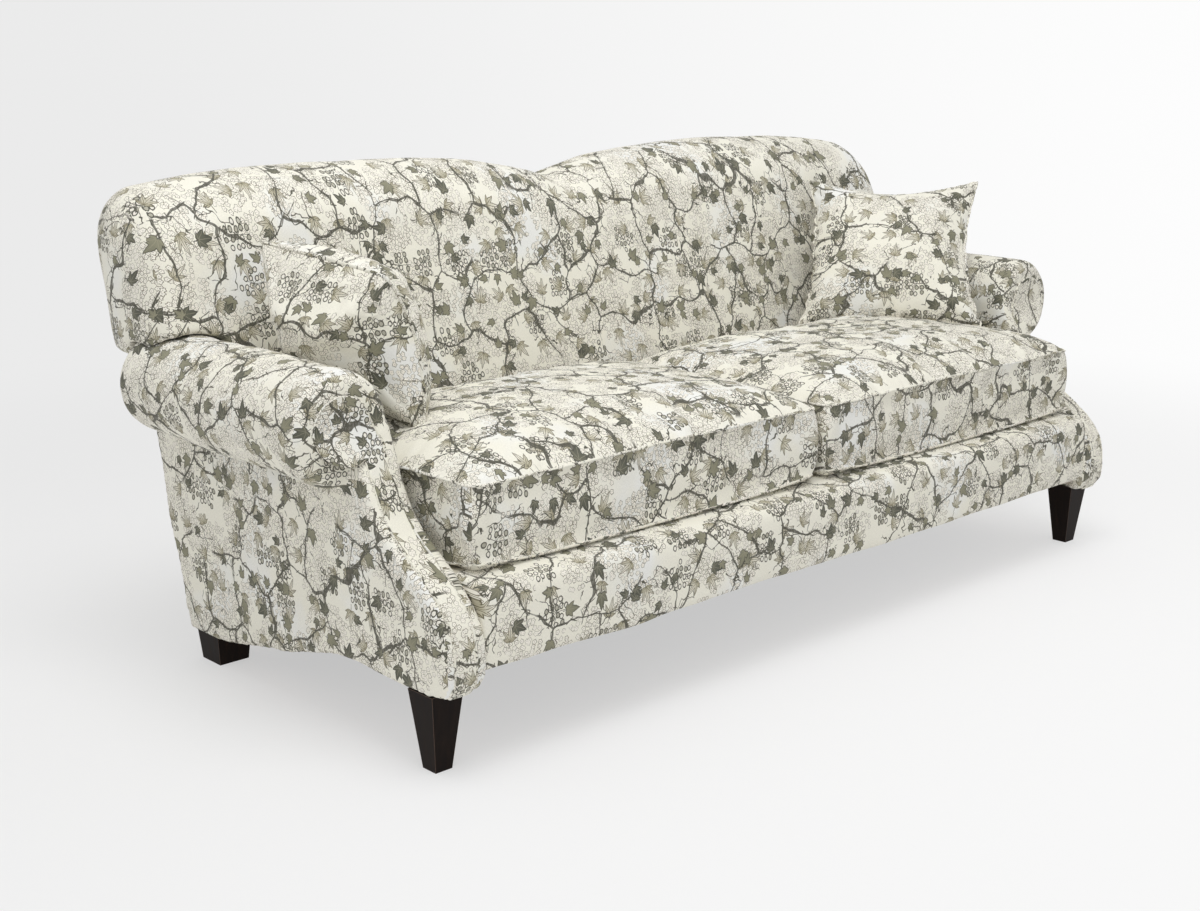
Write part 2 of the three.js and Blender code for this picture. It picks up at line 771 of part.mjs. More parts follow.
// Front border, deck, springs and dust cover

function frontBorder() {
  const rear = borderFront + borderReturn;
  const outline = new THREE.Shape();
  outline.moveTo(borderFront + borderPad, borderHem);
  outline.lineTo(borderFront + borderRoll, borderHem);
  outline.quadraticCurveTo(borderFront, borderHem, borderFront, borderHem + borderRoll * 2);
  outline.lineTo(borderFront, borderShoulder - borderRound);
  outline.bezierCurveTo(
    borderFront, borderShoulder - borderEase,
    borderFront + borderEase, borderShoulder,
    borderFront + borderRound, borderShoulder,
  );
  outline.lineTo(rear, deckTop);
  outline.lineTo(rear, railTop + gap);
  outline.lineTo(borderFront + borderPad, railTop + gap);
  return prism('x', outline, -seatHalfWidth + gap, seatHalfWidth - gap);
}

add('front_border', 'print', frontBorder());
add('seat_deck', 'lining', box(
  -seatHalfWidth + gap, seatHalfWidth - gap,
  borderFront + borderReturn + gap, backFaceFoot + overrun,
  railTop + gap, deckTop,
));

function springGeometry(x) {
  const length = rearSeatRailFront - railBack - 2 * gap - springWire;
  const points = [];
  const total = springHalfWaves * springSteps;
  for (let i = 0; i <= total; i += 1) {
    const share = i / total;
    const swing = Math.sin(share * springHalfWaves * Math.PI);
    points.push(new THREE.Vector3(
      x + springHalfWidth * Math.sign(swing) * Math.abs(swing) ** springSquareness,
      railBack + gap + springWire / 2 + share * length,
      railTop - springDrop - springWire - springRise * (1 - Math.sin(share * Math.PI)),
    ));
  }
  const path = new THREE.CatmullRomCurve3(points);
  const half = springWire / 2;
  const corners = [[-half, 0], [0, -half], [half, 0], [0, half]];
  const section = new THREE.Shape(corners.map(([u, v]) => new THREE.Vector2(u, v)));
  return new THREE.ExtrudeGeometry(section, { steps: total, extrudePath: path });
}

for (let i = 0; i < springCount; i += 1) {
  const x = (i - (springCount - 1) / 2) * 2 * innerSpan / springCount;
  add(`seat_spring_${i + 1}`, 'steel', springGeometry(x));
}

function dustCover() {
  const rear = [backRear(rearHem) - backPlaneInset - backRailDepth - gap, rearHem];
  const line = [[railBack + gap, borderHem + gap * 2], ...hem(), rear];
  const upper = line.map(([y, z]) => [y, z + dustCoverThickness]).reverse();
  return prism('x', [...line, ...upper], -innerSpan, innerSpan);
}

add('dust_cover', 'dustCloth', dustCover());

// Legs

function leg(x, y, foot, top, height) {
  const taper = new THREE.CylinderGeometry(top / Math.SQRT2, foot / Math.SQRT2, height, 4, 1);
  taper.rotateY(Math.PI / 4);
  taper.rotateX(Math.PI / 2);
  taper.translate(x, y, height / 2);
  return cut(taper, boltHole(x, y, height + gap));
}

function legBolt(x, y, z) {
  const bolt = new THREE.CylinderGeometry(boltRadius, boltRadius, 2 * boltBite, boltSides);
  bolt.rotateX(Math.PI / 2);
  bolt.translate(x, y, z);
  return bolt;
}

addPair('leg_front', 'espresso', leg(frontLegX, frontLegY, frontLegFoot, frontLegTop, frontLegHeight));
addPair('leg_rear', 'espresso', leg(rearLegX, rearLegY, rearLegFoot, rearLegTop, rearLegHeight));
addPair('leg_bolt_front', 'steel', legBolt(frontLegX, frontLegY, frontHem));
addPair('leg_bolt_rear', 'steel', legBolt(rearLegX, rearLegY, rearHem));

// Seat cushions

const cushionInner = looseGap / 2;
const cushionOuter = seatHalfWidth - looseGap;
const cushionMiddle = (cushionInner + cushionOuter) / 2;
const cushionHalfWidth = (cushionOuter - cushionInner) / 2;
const cushionHalfDepth = (cushionRear - cushionFront) / 2;
const cushionCentreY = (cushionFront + cushionRear) / 2;

const cornerSteps = 4;
const sideSteps = 8;

// A rounded rectangle of points, shrunk to a share of its size, with its sides drawn in.
function cushionRing(share, inset, drawIn, z) {
  const straightX = cushionHalfWidth - inset - cushionCorner;
  const straightY = cushionHalfDepth - inset - cushionCorner;
  const ring = [];
  for (let quarter = 0; quarter < 4; quarter += 1) {
    const along = quarter % 2 === 0 ? straightX : straightY;
    const turnX = Math.sign(Math.cos((quarter + 1 / 2) * Math.PI / 2));
    const turnY = Math.sign(Math.sin((quarter + 1 / 2) * Math.PI / 2));
    for (let i = 0; i <= cornerSteps; i += 1) {
      const angle = (quarter + i / cornerSteps) * Math.PI / 2;
      const roundX = cushionCorner * Math.cos(angle);
      const roundY = cushionCorner * Math.sin(angle);
      ring.push([turnX * straightX + roundX, turnY * straightY + roundY]);
    }
    const facing = (quarter + 1) * Math.PI / 2;
    const [startX, startY] = ring[ring.length - 1];
    for (let i = 1; i < sideSteps; i += 1) {
      const across = 2 * i / sideSteps;
      const pull = drawIn * across * (2 - across);
      ring.push([
        startX - across * along * Math.sin(facing) - pull * Math.cos(facing),
        startY + across * along * Math.cos(facing) - pull * Math.sin(facing),
      ]);
    }
  }
  return ring.map(([x, y]) => new THREE.Vector3(cushionMiddle + share * x, cushionCentreY + share * y, z));
}

// Rings of the cover: shares of the underside's reach, of the boxing's height and of the crown's reach.
const undersideShares = [0.5, 0.93];
const boxingShares = [0, 0.25, 0.5, 0.75, 1];
const crownShares = [0.97, 0.9, 0.78, 0.62, 0.42, 0.2];

function seatCover() {
  const boxing = cushionTopSeam - cushionBottomSeam;
  const edge = (cushionBottom + cushionBottomSeam) / 2;
  const underside = undersideShares.map((share) => (
    cushionRing(share, cushionBulge, cushionDrawIn, cushionBottom)
  ));
  const sides = boxingShares.map((share) => {
    const flat = 1 - 4 * share * (1 - share);
    return cushionRing(1, cushionBulge * flat, cushionDrawIn * flat, cushionBottomSeam + boxing * share);
  });
  const crown = crownShares.map((share) => {
    const rise = cushionCrown * (1 - share ** cushionFullPower) ** cushionEasePower;
    return cushionRing(share, cushionBulge, cushionDrawIn, cushionTopSeam + rise);
  });
  return loft([...underside, cushionRing(1, undersideInset, cushionDrawIn, edge), ...sides, ...crown]);
}

// The foam block that fills the cover, with chamfered edges.
function coreBlock(grow) {
  const halfX = cushionHalfWidth - coreEdgeInset + grow;
  const halfY = cushionHalfDepth - coreEdgeInset + grow;
  const low = cushionBottom + coverThickness - grow;
  const high = cushionTopSeam + coreHeadroom + grow;
  const level = (shrink, z) => [[-1, -1], [1, -1], [1, 1], [-1, 1]].map(([u, v]) => (
    new THREE.Vector3(cushionMiddle + u * (halfX - shrink), cushionCentreY + v * (halfY - shrink), z)
  ));
  const heights = [low, low + coreChamfer, high - coreChamfer, high];
  return loft(heights.map((z, i) => level(i % 3 === 0 ? coreChamfer : 0, z)));
}

const zipHeight = (cushionTopSeam + cushionBottomSeam) / 2 - zipDrop;
const zipSeat = cushionRear - coreEdgeInset + gap;
const zipFace = cushionRear - zipTapeSetback - cushionBulge;

// A bar along the zip between two depths, grown by a clearance.
function zipBar(grow, front, rear) {
  return box(
    cushionMiddle - zipLength / 2 - grow, cushionMiddle + zipLength / 2 + grow,
    front, rear,
    zipHeight - zipWidth / 2 - grow, zipHeight + zipWidth / 2 + grow,
  );
}

// Slider at the closed end of the zip, wide where its two rows of teeth part.
function zipSlider() {
  const start = cushionMiddle - zipLength / 2 + sliderEndClear;
  const face = zipFace + gap;
  return prism('y', [
    [start, zipHeight - sliderWidth / 2],
    [start + sliderLength, zipHeight - sliderWidth / 3],
    [start + sliderLength, zipHeight + sliderWidth / 3],
    [start, zipHeight + sliderWidth / 2],
  ], face, face + sliderThickness);
}

const zipOpening = zipBar(gap, zipSeat - overrun, cushionRear + overrun);
addPair('seat_cover', 'print', cut(seatCover(), coreBlock(gap), zipOpening));
addPair('seat_core', 'foam', coreBlock(0));
addPair('seat_zip_tape', 'lining', zipBar(0, zipSeat, zipFace));
addPair('seat_zip_slider', 'steel', zipSlider());

// Scatter cushions

// Places from -1 to 1 that crowd a little towards both ends.
function gridShare(share) {
  return (2 * share - 1) * scatterEvenShare - Math.cos(share * Math.PI) * (1 - scatterEvenShare);
}

// A knife-edge pillow in its own plane: pointed corners, sides that curve in, full middle.
function pillow(half, thickness, steps) {
  const points = [];
  const faces = [];
  const number = (side, i, j) => {
    const edge = i === 0 || j === 0 || i === steps || j === steps;
    return (edge ? 0 : side) * (steps + 1) ** 2 + i * (steps + 1) + j;
  };
  for (const side of [0, 1]) {
    for (let i = 0; i <= steps; i += 1) {
      for (let j = 0; j <= steps; j += 1) {
        const u = gridShare(i / steps);
        const v = gridShare(j / steps);
        const full = Math.sqrt(Math.max(0, (1 - u * u) * (1 - v * v)));
        const lift = (thickness / 2) * full ** scatterFullPower * (side === 0 ? 1 : -1);
        const pullU = 1 - scatterPullShare * (1 - v * v);
        const pullV = 1 - scatterPullShare * (1 - u * u);
        points.push(u * half * pullU, lift, v * half * pullV);
      }
    }
  }
  for (const side of [0, 1]) {
    for (let i = 0; i < steps; i += 1) {
      for (let j = 0; j < steps; j += 1) {
        const a = number(side, i, j);
        const b = number(side, i + 1, j);
        const c = number(side, i + 1, j + 1);
        const d = number(side, i, j + 1);
        const crossed = (i < steps / 2) === (j < steps / 2);
        const pair = crossed ? [[a, b, c], [a, c, d]] : [[a, b, d], [b, c, d]];
        pair.forEach(([p, q, r]) => faces.push(...(side === 0 ? [p, r, q] : [p, q, r])));
      }
    }
  }
  const geometry = new THREE.BufferGeometry();
  geometry.setAttribute('position', new THREE.Float32BufferAttribute(points, 3));
  geometry.setIndex(faces);
  return facingOut(bare(geometry));
}

// Bends a pillow along its height, slumps it so that it thickens, and sets it where it leans.
function leaned(geometry, pose, side) {
  const bend = THREE.MathUtils.degToRad(pose.bend);
  const lean = THREE.MathUtils.degToRad(pose.lean);
  const radius = 2 * scatterHalf * pose.tallShare / bend;
  const thickened = pose.plumpShare / Math.sqrt(pose.tallShare * pose.wideShare);
  const position = geometry.getAttribute('position');
  for (let i = 0; i < position.count; i += 1) {
    const cornerShare = Math.max(0, (position.getZ(i) - position.getX(i)) / (2 * scatterHalf));
    const inward = pose.sunk * cornerShare ** sunkPower;
    const angle = lean + (bend / 2) * (position.getZ(i) - inward) / scatterHalf;
    const lift = position.getY(i) * thickened;
    const behind = radius * (Math.cos(lean) - Math.cos(angle)) + lift * Math.cos(angle);
    const above = radius * (Math.sin(angle) - Math.sin(lean)) - lift * Math.sin(angle);
    position.setXYZ(i, (position.getX(i) + inward) * pose.wideShare, behind, above);
  }
  geometry.rotateZ(THREE.MathUtils.degToRad(pose.turn));
  const away = seatHalfWidth - pose.fromArm;
  geometry.translate(
    side === 'right' ? away : -away,
    backFaceFoot - pose.fromBack,
    cushionTopSeam + cushionCrown + pose.overSeat,
  );
  return geometry;
}

// How far a loose piece sinks before it meets what it rests on, less the seat clearance.
function sinkage(geometry, supports) {
  const bodies = supports.map((name) => solid(sofa.getObjectByName(name).geometry));
  let free = 0;
  let blocked = settleTravel;
  for (let i = 0; i < settleSteps; i += 1) {
    const middle = (free + blocked) / 2;
    const moved = solid(geometry.clone().translate(0, 0, -middle));
    const meets = bodies.some((body) => !body.intersect(moved).isEmpty());
    free = meets ? free : middle;
    blocked = meets ? middle : blocked;
  }
  return free - gap;
}

const innerHalf = scatterHalf * scatterPadShare;
const innerThickness = scatterThickness - 2 * scatterCover;
const slitEnd = -scatterHalf - overrun;
const slit = box(-innerHalf / 2, innerHalf / 2, -slitHalf, slitHalf, slitEnd, -innerHalf / 2);
const scatterOuter = pillow(scatterHalf, scatterThickness, scatterSteps);
const scatterShell = cut(scatterOuter, pillow(innerHalf, innerThickness, fillSteps), slit);
const scatterFill = pillow(innerHalf - scatterPadClear, innerThickness - scatterPadClear, fillSteps);

for (const [side, pose] of [['right', scatterRight], ['left', scatterLeft]]) {
  const cover = leaned(scatterShell.clone(), pose, side);
  const fill = leaned(scatterFill.clone(), pose, side);
  const drop = sinkage(cover, [`seat_cover_${side}`, `arm_pad_${side}`, 'back_pad']);
  add(`scatter_cover_${side}`, 'print', cover.translate(0, 0, -drop));
  add(`scatter_pad_${side}`, 'foam', fill.translate(0, 0, -drop));
}

// The origin is the middle of the underside of the whole sofa.
const bounds = new THREE.Box3().setFromObject(sofa);
sofa.position.y = -(bounds.min.y + bounds.max.y) / 2;
sofa.updateMatrixWorld(true);

export default sofa;
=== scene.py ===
import json
import math

import bmesh
import bpy
import numpy as np
from mathutils import Euler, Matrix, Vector
from mathutils.bvhtree import BVHTree
from mathutils.kdtree import KDTree


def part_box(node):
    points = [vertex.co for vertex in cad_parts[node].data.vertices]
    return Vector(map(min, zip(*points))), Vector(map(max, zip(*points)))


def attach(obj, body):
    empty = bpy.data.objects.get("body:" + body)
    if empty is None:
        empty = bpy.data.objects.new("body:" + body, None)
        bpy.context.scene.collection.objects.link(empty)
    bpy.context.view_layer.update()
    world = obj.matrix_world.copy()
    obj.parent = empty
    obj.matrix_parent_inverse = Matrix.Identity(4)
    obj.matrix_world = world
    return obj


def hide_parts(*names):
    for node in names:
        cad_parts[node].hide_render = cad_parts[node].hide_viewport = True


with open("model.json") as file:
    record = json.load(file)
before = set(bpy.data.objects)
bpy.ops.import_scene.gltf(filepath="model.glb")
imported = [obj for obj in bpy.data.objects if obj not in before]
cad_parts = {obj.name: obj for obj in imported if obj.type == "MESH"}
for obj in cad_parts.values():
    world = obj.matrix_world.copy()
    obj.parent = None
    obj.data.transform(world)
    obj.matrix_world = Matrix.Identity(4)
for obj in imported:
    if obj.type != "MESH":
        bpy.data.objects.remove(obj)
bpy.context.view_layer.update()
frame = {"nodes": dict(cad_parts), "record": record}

scene = bpy.context.scene
cad = frame["nodes"]
tiny = 1e-9  # keeps a division from running into zero

# camera, at the height and angle of the photo

camera = {"at": (-2.5593, -2.5333, 1.2049), "down": 14.158, "turn": -43.16, "lens": 50.83, "sensor": 36,
          "clip": 60}


def addCamera():
    data = bpy.data.cameras.new("camera")
    data.lens = camera["lens"]
    data.sensor_width = camera["sensor"]
    data.clip_end = camera["clip"]
    eye = bpy.data.objects.new("camera", data)
    eye.location = camera["at"]
    eye.rotation_euler = Euler((math.radians(90 - camera["down"]), 0, math.radians(camera["turn"])))
    scene.collection.objects.link(eye)
    scene.camera = eye


addCamera()
print("camera placed")

# mesh helpers


def linked(name, mesh):
    obj = bpy.data.objects.new(name, mesh)
    scene.collection.objects.link(obj)
    return obj


def meshFrom(name, points, faces):
    mesh = bpy.data.meshes.new(name)
    mesh.from_pydata([tuple(p) for p in points], [], [tuple(f) for f in faces])
    mesh.update()
    return linked(name, mesh)


def applied(obj):  # bakes the modifiers of a piece into its mesh
    graph = bpy.context.evaluated_depsgraph_get()
    mesh = bpy.data.meshes.new_from_object(obj.evaluated_get(graph))
    obj.modifiers.clear()
    obj.data = mesh
    return obj


def readAll(rows, name, width=1, kind=float):  # one property of all vertices, corners or faces
    values = np.empty(len(rows) * width, dtype=kind)
    rows.foreach_get(name, values)
    return values.reshape(-1, width) if width > 1 else values


def coords(obj):
    return readAll(obj.data.vertices, "co", 3)


def setCoords(obj, points):
    obj.data.vertices.foreach_set("co", np.ascontiguousarray(points).ravel())
    obj.data.update()


def normals(obj):
    return readAll(obj.data.vertices, "normal", 3)


def setCloth(obj, flat):  # the flat cloth place, in metres, of each face corner
    layer = obj.data.uv_layers.get("cloth") or obj.data.uv_layers.new(name="cloth")
    layer.data.foreach_set("uv", np.array(flat).ravel())


def unit(vectors):
    return vectors / np.maximum(np.linalg.norm(vectors, axis=1), tiny)[:, None]


def walkedAlong(path):  # how far along a path each of its points lies
    return np.concatenate([[0], np.cumsum(np.linalg.norm(np.diff(path, axis=0), axis=1))])


def fade(x):  # smooth step from 0 to 1
    x = np.clip(x, 0, 1)
    return x * x * (3 - 2 * x)


def ripple(points, wavelength, seed):  # smooth random field, about -1 to 1
    draw = np.random.default_rng(seed)
    waves = 9
    total = np.zeros(len(points))
    for _ in range(waves):
        way = draw.normal(size=3)
        way *= 2 * math.pi / (np.linalg.norm(way) * wavelength * draw.uniform(0.7, 1.4))
        total += np.sin(points @ way + draw.uniform(0, 2 * math.pi))
    return total / math.sqrt(waves)


def fromCad(nodes, name, voxel, relax):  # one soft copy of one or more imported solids
    shell = bmesh.new()
    for node in nodes:
        shell.from_mesh(cad[node].data)
    mesh = bpy.data.meshes.new(name)
    shell.to_mesh(mesh)
    shell.free()
    obj = linked(name, mesh)
    remesh = obj.modifiers.new("remesh", "REMESH")
    remesh.mode = "VOXEL"
    remesh.voxel_size = voxel
    relaxed = obj.modifiers.new("relax", "SMOOTH")
    relaxed.factor = 0.5
    relaxed.iterations = relax
    return applied(obj)


def cleared(obj, node, reach, gap):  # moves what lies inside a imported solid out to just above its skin
    tree = BVHTree.FromObject(cad[node], bpy.context.evaluated_depsgraph_get())
    points, out = coords(obj), normals(obj)
    for i, (point, way) in enumerate(zip(points, out)):
        place = tree.ray_cast(point + way * reach, -way, reach)[0]
        if place is not None:
            points[i] = place + Vector(way) * gap
    setCoords(obj, points)


def mirrored(obj, name):
    mesh = obj.data.copy()
    twin = linked(name, mesh)
    points = coords(twin)
    points[:, 0] *= -1
    setCoords(twin, points)
    mesh.flip_normals()
    return twin


def layCloth(obj, unroll, offset):  # unroll takes places, and the normals and middles of their faces
    mesh = obj.data
    vertexOf = readAll(mesh.loops, "vertex_index", kind=np.int64)
    polygonOf = np.repeat(np.arange(len(mesh.polygons)), readAll(mesh.polygons, "loop_total", kind=np.int64))
    out, middle = (readAll(mesh.polygons, name, 3)[polygonOf] for name in ("normal", "center"))
    setCloth(obj, unroll(coords(obj)[vertexOf], out, middle) + np.array(offset))


def subdivided(obj):
    finer = obj.modifiers.new("finer", "SUBSURF")
    finer.levels = 1
    finer.render_levels = 1
    return applied(obj)


def resampled(path, spacing, closed=True):  # evenly spaced points along a path
    loop = np.concatenate([path, path[:1]]) if closed else path
    walked = walkedAlong(loop)
    places = np.linspace(0, walked[-1], max(8, int(walked[-1] / spacing)) + 1)
    if closed:
        places = places[:-1]
    return np.stack([np.interp(places, walked, loop[:, k]) for k in range(loop.shape[1])], axis=1)


def nearestOf(points, targets):  # for each point, the index of the nearest target and how far it is
    tree = KDTree(len(targets))
    for i, target in enumerate(targets):
        tree.insert(target, i)
    tree.balance()
    found = [tree.find(p) for p in points]
    return np.array([f[1] for f in found]), np.array([f[2] for f in found])


def puckered(obj, path, spacing, piece, seed):  # small tucks that fade away from a seam
    points = coords(obj)
    near, away = nearestOf(points, path)
    along = near * spacing
    draw = np.random.default_rng(seed)
    wander = sum(np.sin(along * draw.uniform(8, 40) + draw.uniform(0, 6)) for _ in range(4))
    strength = 0.6 + 0.4 * np.sin(along * draw.uniform(5, 9) + draw.uniform(0, 6))
    fold = np.sin(along * 2 * math.pi / piece["tuckPitch"] + 1.7 * wander) * strength
    hold = np.clip(1 - away / piece["tuckReach"], 0, 1) ** 1.6
    setCoords(obj, points + normals(obj) * (piece["tuck"] * fold * hold)[:, None])


def tube(name, path, out, profile, closed, rise):  # a profile swept along a path, rise scales its height
    count, size = len(path), len(profile)
    ahead = np.gradient(path, axis=0)
    if closed:
        ahead = np.roll(path, -1, axis=0) - np.roll(path, 1, axis=0)
    side = unit(np.cross(ahead, out))
    profile = np.array(profile)
    ring = path[:, None] + side[:, None] * profile[None, :, :1]
    ring = ring + out[:, None] * profile[None, :, 1:] * rise[:, None, None]
    walked, girth = walkedAlong(path), walkedAlong(profile)
    faces, flats = [], []
    for i in range(count if closed else count - 1):
        j = (i + 1) % count
        for k in range(size):
            n = (k + 1) % size
            corners = ((i, k), (i, n), (j, n), (j, k))
            faces.append(tuple(row * size + column for row, column in corners))
            flats += [(walked[row], girth[column]) for row, column in corners]
    if not closed:
        for start, reverse in ((0, True), ((count - 1) * size, False)):
            cap = [start + k for k in range(size)]
            faces.append(tuple(reversed(cap) if reverse else cap))
            flats += [(0, 0)] * size
    obj = meshFrom(name, ring.reshape(-1, 3), faces)
    setCloth(obj, flats)
    shell = bmesh.new()
    shell.from_mesh(obj.data)
    bmesh.ops.recalc_face_normals(shell, faces=shell.faces)
    shell.to_mesh(obj.data)
    shell.free()
    return obj


def seamRidge(name, path, out, piece, closed, seed):  # the raised edge of a plain seam
    half, height = piece["seamWidth"] / 2, piece["seamHeight"]
    spacing = np.linalg.norm(path[1] - path[0])
    along = np.arange(len(path)) * spacing
    draw = np.random.default_rng(seed)
    beat = 0.012  # length of one swell of the ridge
    rise = 1 + 0.18 * np.sin(along * 2 * math.pi / beat + 2 * np.sin(along * 23 + draw.uniform(0, 6)))
    rise += 0.12 * np.sin(along * draw.uniform(50, 70))
    rightHalf = [(half * 0.55, 0.8 * height), (half, 0.1 * height), (half, -height)]
    leftHalf = [(-across, up) for across, up in reversed(rightHalf)]
    return tube(name, path, out, leftHalf + [(0, height)] + rightHalf, closed, rise)


def stitchRow(name, path, out, pitch, length, radius, lift):  # one small thread stitch at each pitch
    ahead = unit(np.gradient(path, axis=0))
    spacing = np.linalg.norm(path[1] - path[0])
    every = max(2, int(round(pitch / spacing)))
    points, faces = [], []
    for i in range(every, len(path) - 1, every):
        side = np.cross(ahead[i], out[i])
        middle = path[i] + out[i] * lift
        base = len(points)
        for share, girth in ((-0.5, 0.35), (-0.3, 1.0), (0.3, 1.0), (0.5, 0.35)):
            for k in range(6):
                turn = k * math.pi / 3
                around = side * math.cos(turn) + out[i] * math.sin(turn)
                points.append(middle + (ahead[i] + side * 0.25) * share * length + around * radius * girth)
        for ring in range(3):
            for k in range(6):
                a, b = base + ring * 6 + k, base + ring * 6 + (k + 1) % 6
                faces.append((a, b, b + 6, a + 6))
        faces.append(tuple(base + k for k in reversed(range(6))))
        faces.append(tuple(base + 18 + k for k in range(6)))
    return meshFrom(name, points, faces)


# shader helpers


class Wire:
    def __init__(self, tree, socket=None):
        self.tree = tree
        self.socket = socket

    def make(self, kind, settings=None, sockets=None, output=0):
        node = self.tree.nodes.new(kind)
        for name, value in (settings or {}).items():
            if name == "stops":
                self.setStops(node.color_ramp, value)
            else:
                setattr(node, name, value)
        for name, value in (sockets or {}).items():
            if isinstance(value, Wire):
                self.tree.links.new(value.socket, node.inputs[name])
            else:
                node.inputs[name].default_value = value
        return Wire(self.tree, node.outputs[output])

    def setStops(self, ramp, stops):
        while len(ramp.elements) < len(stops):
            ramp.elements.new(0.5)
        for element, (place, colour) in zip(ramp.elements, stops):
            element.position = place
            element.color = colour

    def out(self, name):
        return Wire(self.tree, self.socket.node.outputs[name])

    def math(self, operation, *values):
        return self.make("ShaderNodeMath", {"operation": operation}, dict(enumerate(values)))

    def __add__(self, other):
        return self.math("ADD", self, other)

    __radd__ = __add__

    def __sub__(self, other):
        return self.math("SUBTRACT", self, other)

    def __rsub__(self, other):
        return self.math("SUBTRACT", other, self)

    def __mul__(self, other):
        return self.math("MULTIPLY", self, other)

    __rmul__ = __mul__

    def __truediv__(self, other):
        return self.math("DIVIDE", self, other)

    def __abs__(self):
        return self.math("ABSOLUTE", self)

    def less(self, other):
        return self.math("LESS_THAN", self, other)

    def more(self, other):
        return self.math("GREATER_THAN", self, other)

    def smaller(self, other):
        return self.math("MINIMUM", self, other)

    def larger(self, other):
        return self.math("MAXIMUM", self, other)

    def step(self, low, high):  # smooth step of this value from low to high
        return self.make("ShaderNodeMapRange", {"interpolation_type": "SMOOTHSTEP"},
                         {"Value": self, "From Min": low, "From Max": high})

    def vector(self, operation, other=None, scale=None, output=0):
        sockets = {0: self}
        if other is not None:
            sockets[1] = other
        if scale is not None:
            sockets["Scale"] = scale
        return self.make("ShaderNodeVectorMath", {"operation": operation}, sockets, output)

    def dot(self, other):
        return self.vector("DOT_PRODUCT", other, output="Value")

    def length(self):
        return self.vector("LENGTH", output="Value")

    def angle(self):  # the turn of this vector about the z axis
        return self.math("ARCTAN2", self.part("Y"), self.part("X"))

    def blend(self, over, share):  # this colour with another laid over it by a share
        return self.make("ShaderNodeMix", {"data_type": "RGBA"}, {0: share, 6: self, 7: over}, 2)

    def part(self, name):
        return self.make("ShaderNodeSeparateXYZ", None, {0: self}, name)


def newMaterial(name, roughness, sheen=0.0, metallic=0.0):
    material = bpy.data.materials.new(name)
    material.use_nodes = True
    tree = material.node_tree
    shader = tree.nodes["Principled BSDF"]
    shader.inputs["Roughness"].default_value = roughness
    shader.inputs["Metallic"].default_value = metallic
    shader.inputs["Sheen Weight"].default_value = sheen
    return material, Wire(tree), shader


def finish(wire, shader, colour, roughness, height=None, strength=0.3, depth=0.001):
    wire.tree.links.new(colour.socket, shader.inputs["Base Color"])
    if roughness is not None:
        wire.tree.links.new(roughness.socket, shader.inputs["Roughness"])
    if height is not None:
        bump = wire.make("ShaderNodeBump", None, {"Strength": strength, "Distance": depth, "Height": height})
        wire.tree.links.new(bump.socket, shader.inputs["Normal"])


def srgb(code):  # a screen colour as the linear colour of a socket
    channels = [int(code[i:i + 2], 16) / 255 for i in (0, 2, 4)]
    return (*(c / 12.92 if c <= 0.04045 else ((c + 0.055) / 1.055) ** 2.4 for c in channels), 1)


def grey(level):
    return (level, level, level, 1)


def mixed(wire, share, low, high):  # a colour that goes from low to high with a share
    return wire.make("ShaderNodeMix", {"data_type": "RGBA"}, {0: share, 6: low, 7: high}, 2)


def ramp(wire, share, *stops):
    return wire.make("ShaderNodeValToRGB", {"stops": [(place, srgb(code)) for place, code in stops]},
                     {"Fac": share}, "Color")


def pieceNoise(wire, scale, detail, stretch=None, distortion=0.0):  # noise laid along a piece's own axes
    place = wire.make("ShaderNodeTexCoord", None, None, "Object")
    if stretch:
        place = place.vector("MULTIPLY", stretch)
    sockets = {"Vector": place, "Scale": scale, "Detail": detail, "Distortion": distortion}
    return wire.make("ShaderNodeTexNoise", None, sockets, "Fac")


# the printed linen: trailing branches with lobed leaves, berries and blossom heads
# sizes are metres of cloth: Cell is the spacing of a motif, Reach how far it reaches, Half half its width
# weave and slub are the scales of the noise across and along a thread

linen = {
    "ground": "f3f0e2", "wash": "f2f2ee", "branch": "545247", "twig": "5b594d", "leaf": "525349",
    "leafPale": "8c8a74", "leafLine": "4b4a41", "vein": "a6a28c", "taupe": "6d6852", "taupeFill": "b3ac90",
    "berry": "57554a", "berryFill": "8e8c76", "blossom": "736b56", "blossomFill": "f7f3e8",
    "branchCell": 0.122, "branchHalf": 0.0027, "twigCell": 0.050, "twigHalf": 0.0012,
    "thornCell": 0.026, "thornHalf": 0.0011, "thornReach": 0.0070,
    "leafCell": 0.060, "leafReach": 0.0245, "leafNear": 0.036, "sprayCell": 0.057, "sprayReach": 0.030,
    "clusterCell": 0.080, "blossomReach": 0.044, "berryReach": 0.0285, "berryCell": 0.0116,
    "floretCell": 0.0108, "pen": 0.00080, "ink": 0.0004, "washCell": 0.19,
    "roughness": 0.88, "sheen": 0.05, "weave": 1500, "slub": 240, "weaveDepth": 0.0006,
}
leafLobes = ((0.0, 1.25, 0.60), (0.74, 0.90, 0.50), (1.6, 0.52, 0.42))  # turn, length, width of each lobe
sprayLobes = ((0.0, 1.25, 0.36), (0.62, 0.95, 0.30), (1.25, 0.6, 0.26))


def dye(name):
    return srgb(linen[name])


def cells(wire, place, size, randomness=0.8, feature="F1"):
    return wire.make("ShaderNodeTexVoronoi", {"voronoi_dimensions": "2D", "feature": feature},
                     {"Vector": place, "Scale": 1 / size, "Randomness": randomness}, "Distance")


def softNoise(wire, place, size, detail=2.0, output="Fac"):
    return wire.make("ShaderNodeTexNoise", {"noise_dimensions": "2D"},
                     {"Vector": place, "Scale": 1 / size, "Detail": detail}, output)


def warped(wire, place, size, amount):
    wander = softNoise(wire, place, size, 2.0, "Color").vector("SUBTRACT", (0.5, 0.5, 0.5))
    return place.vector("ADD", wander.vector("SCALE", scale=amount))


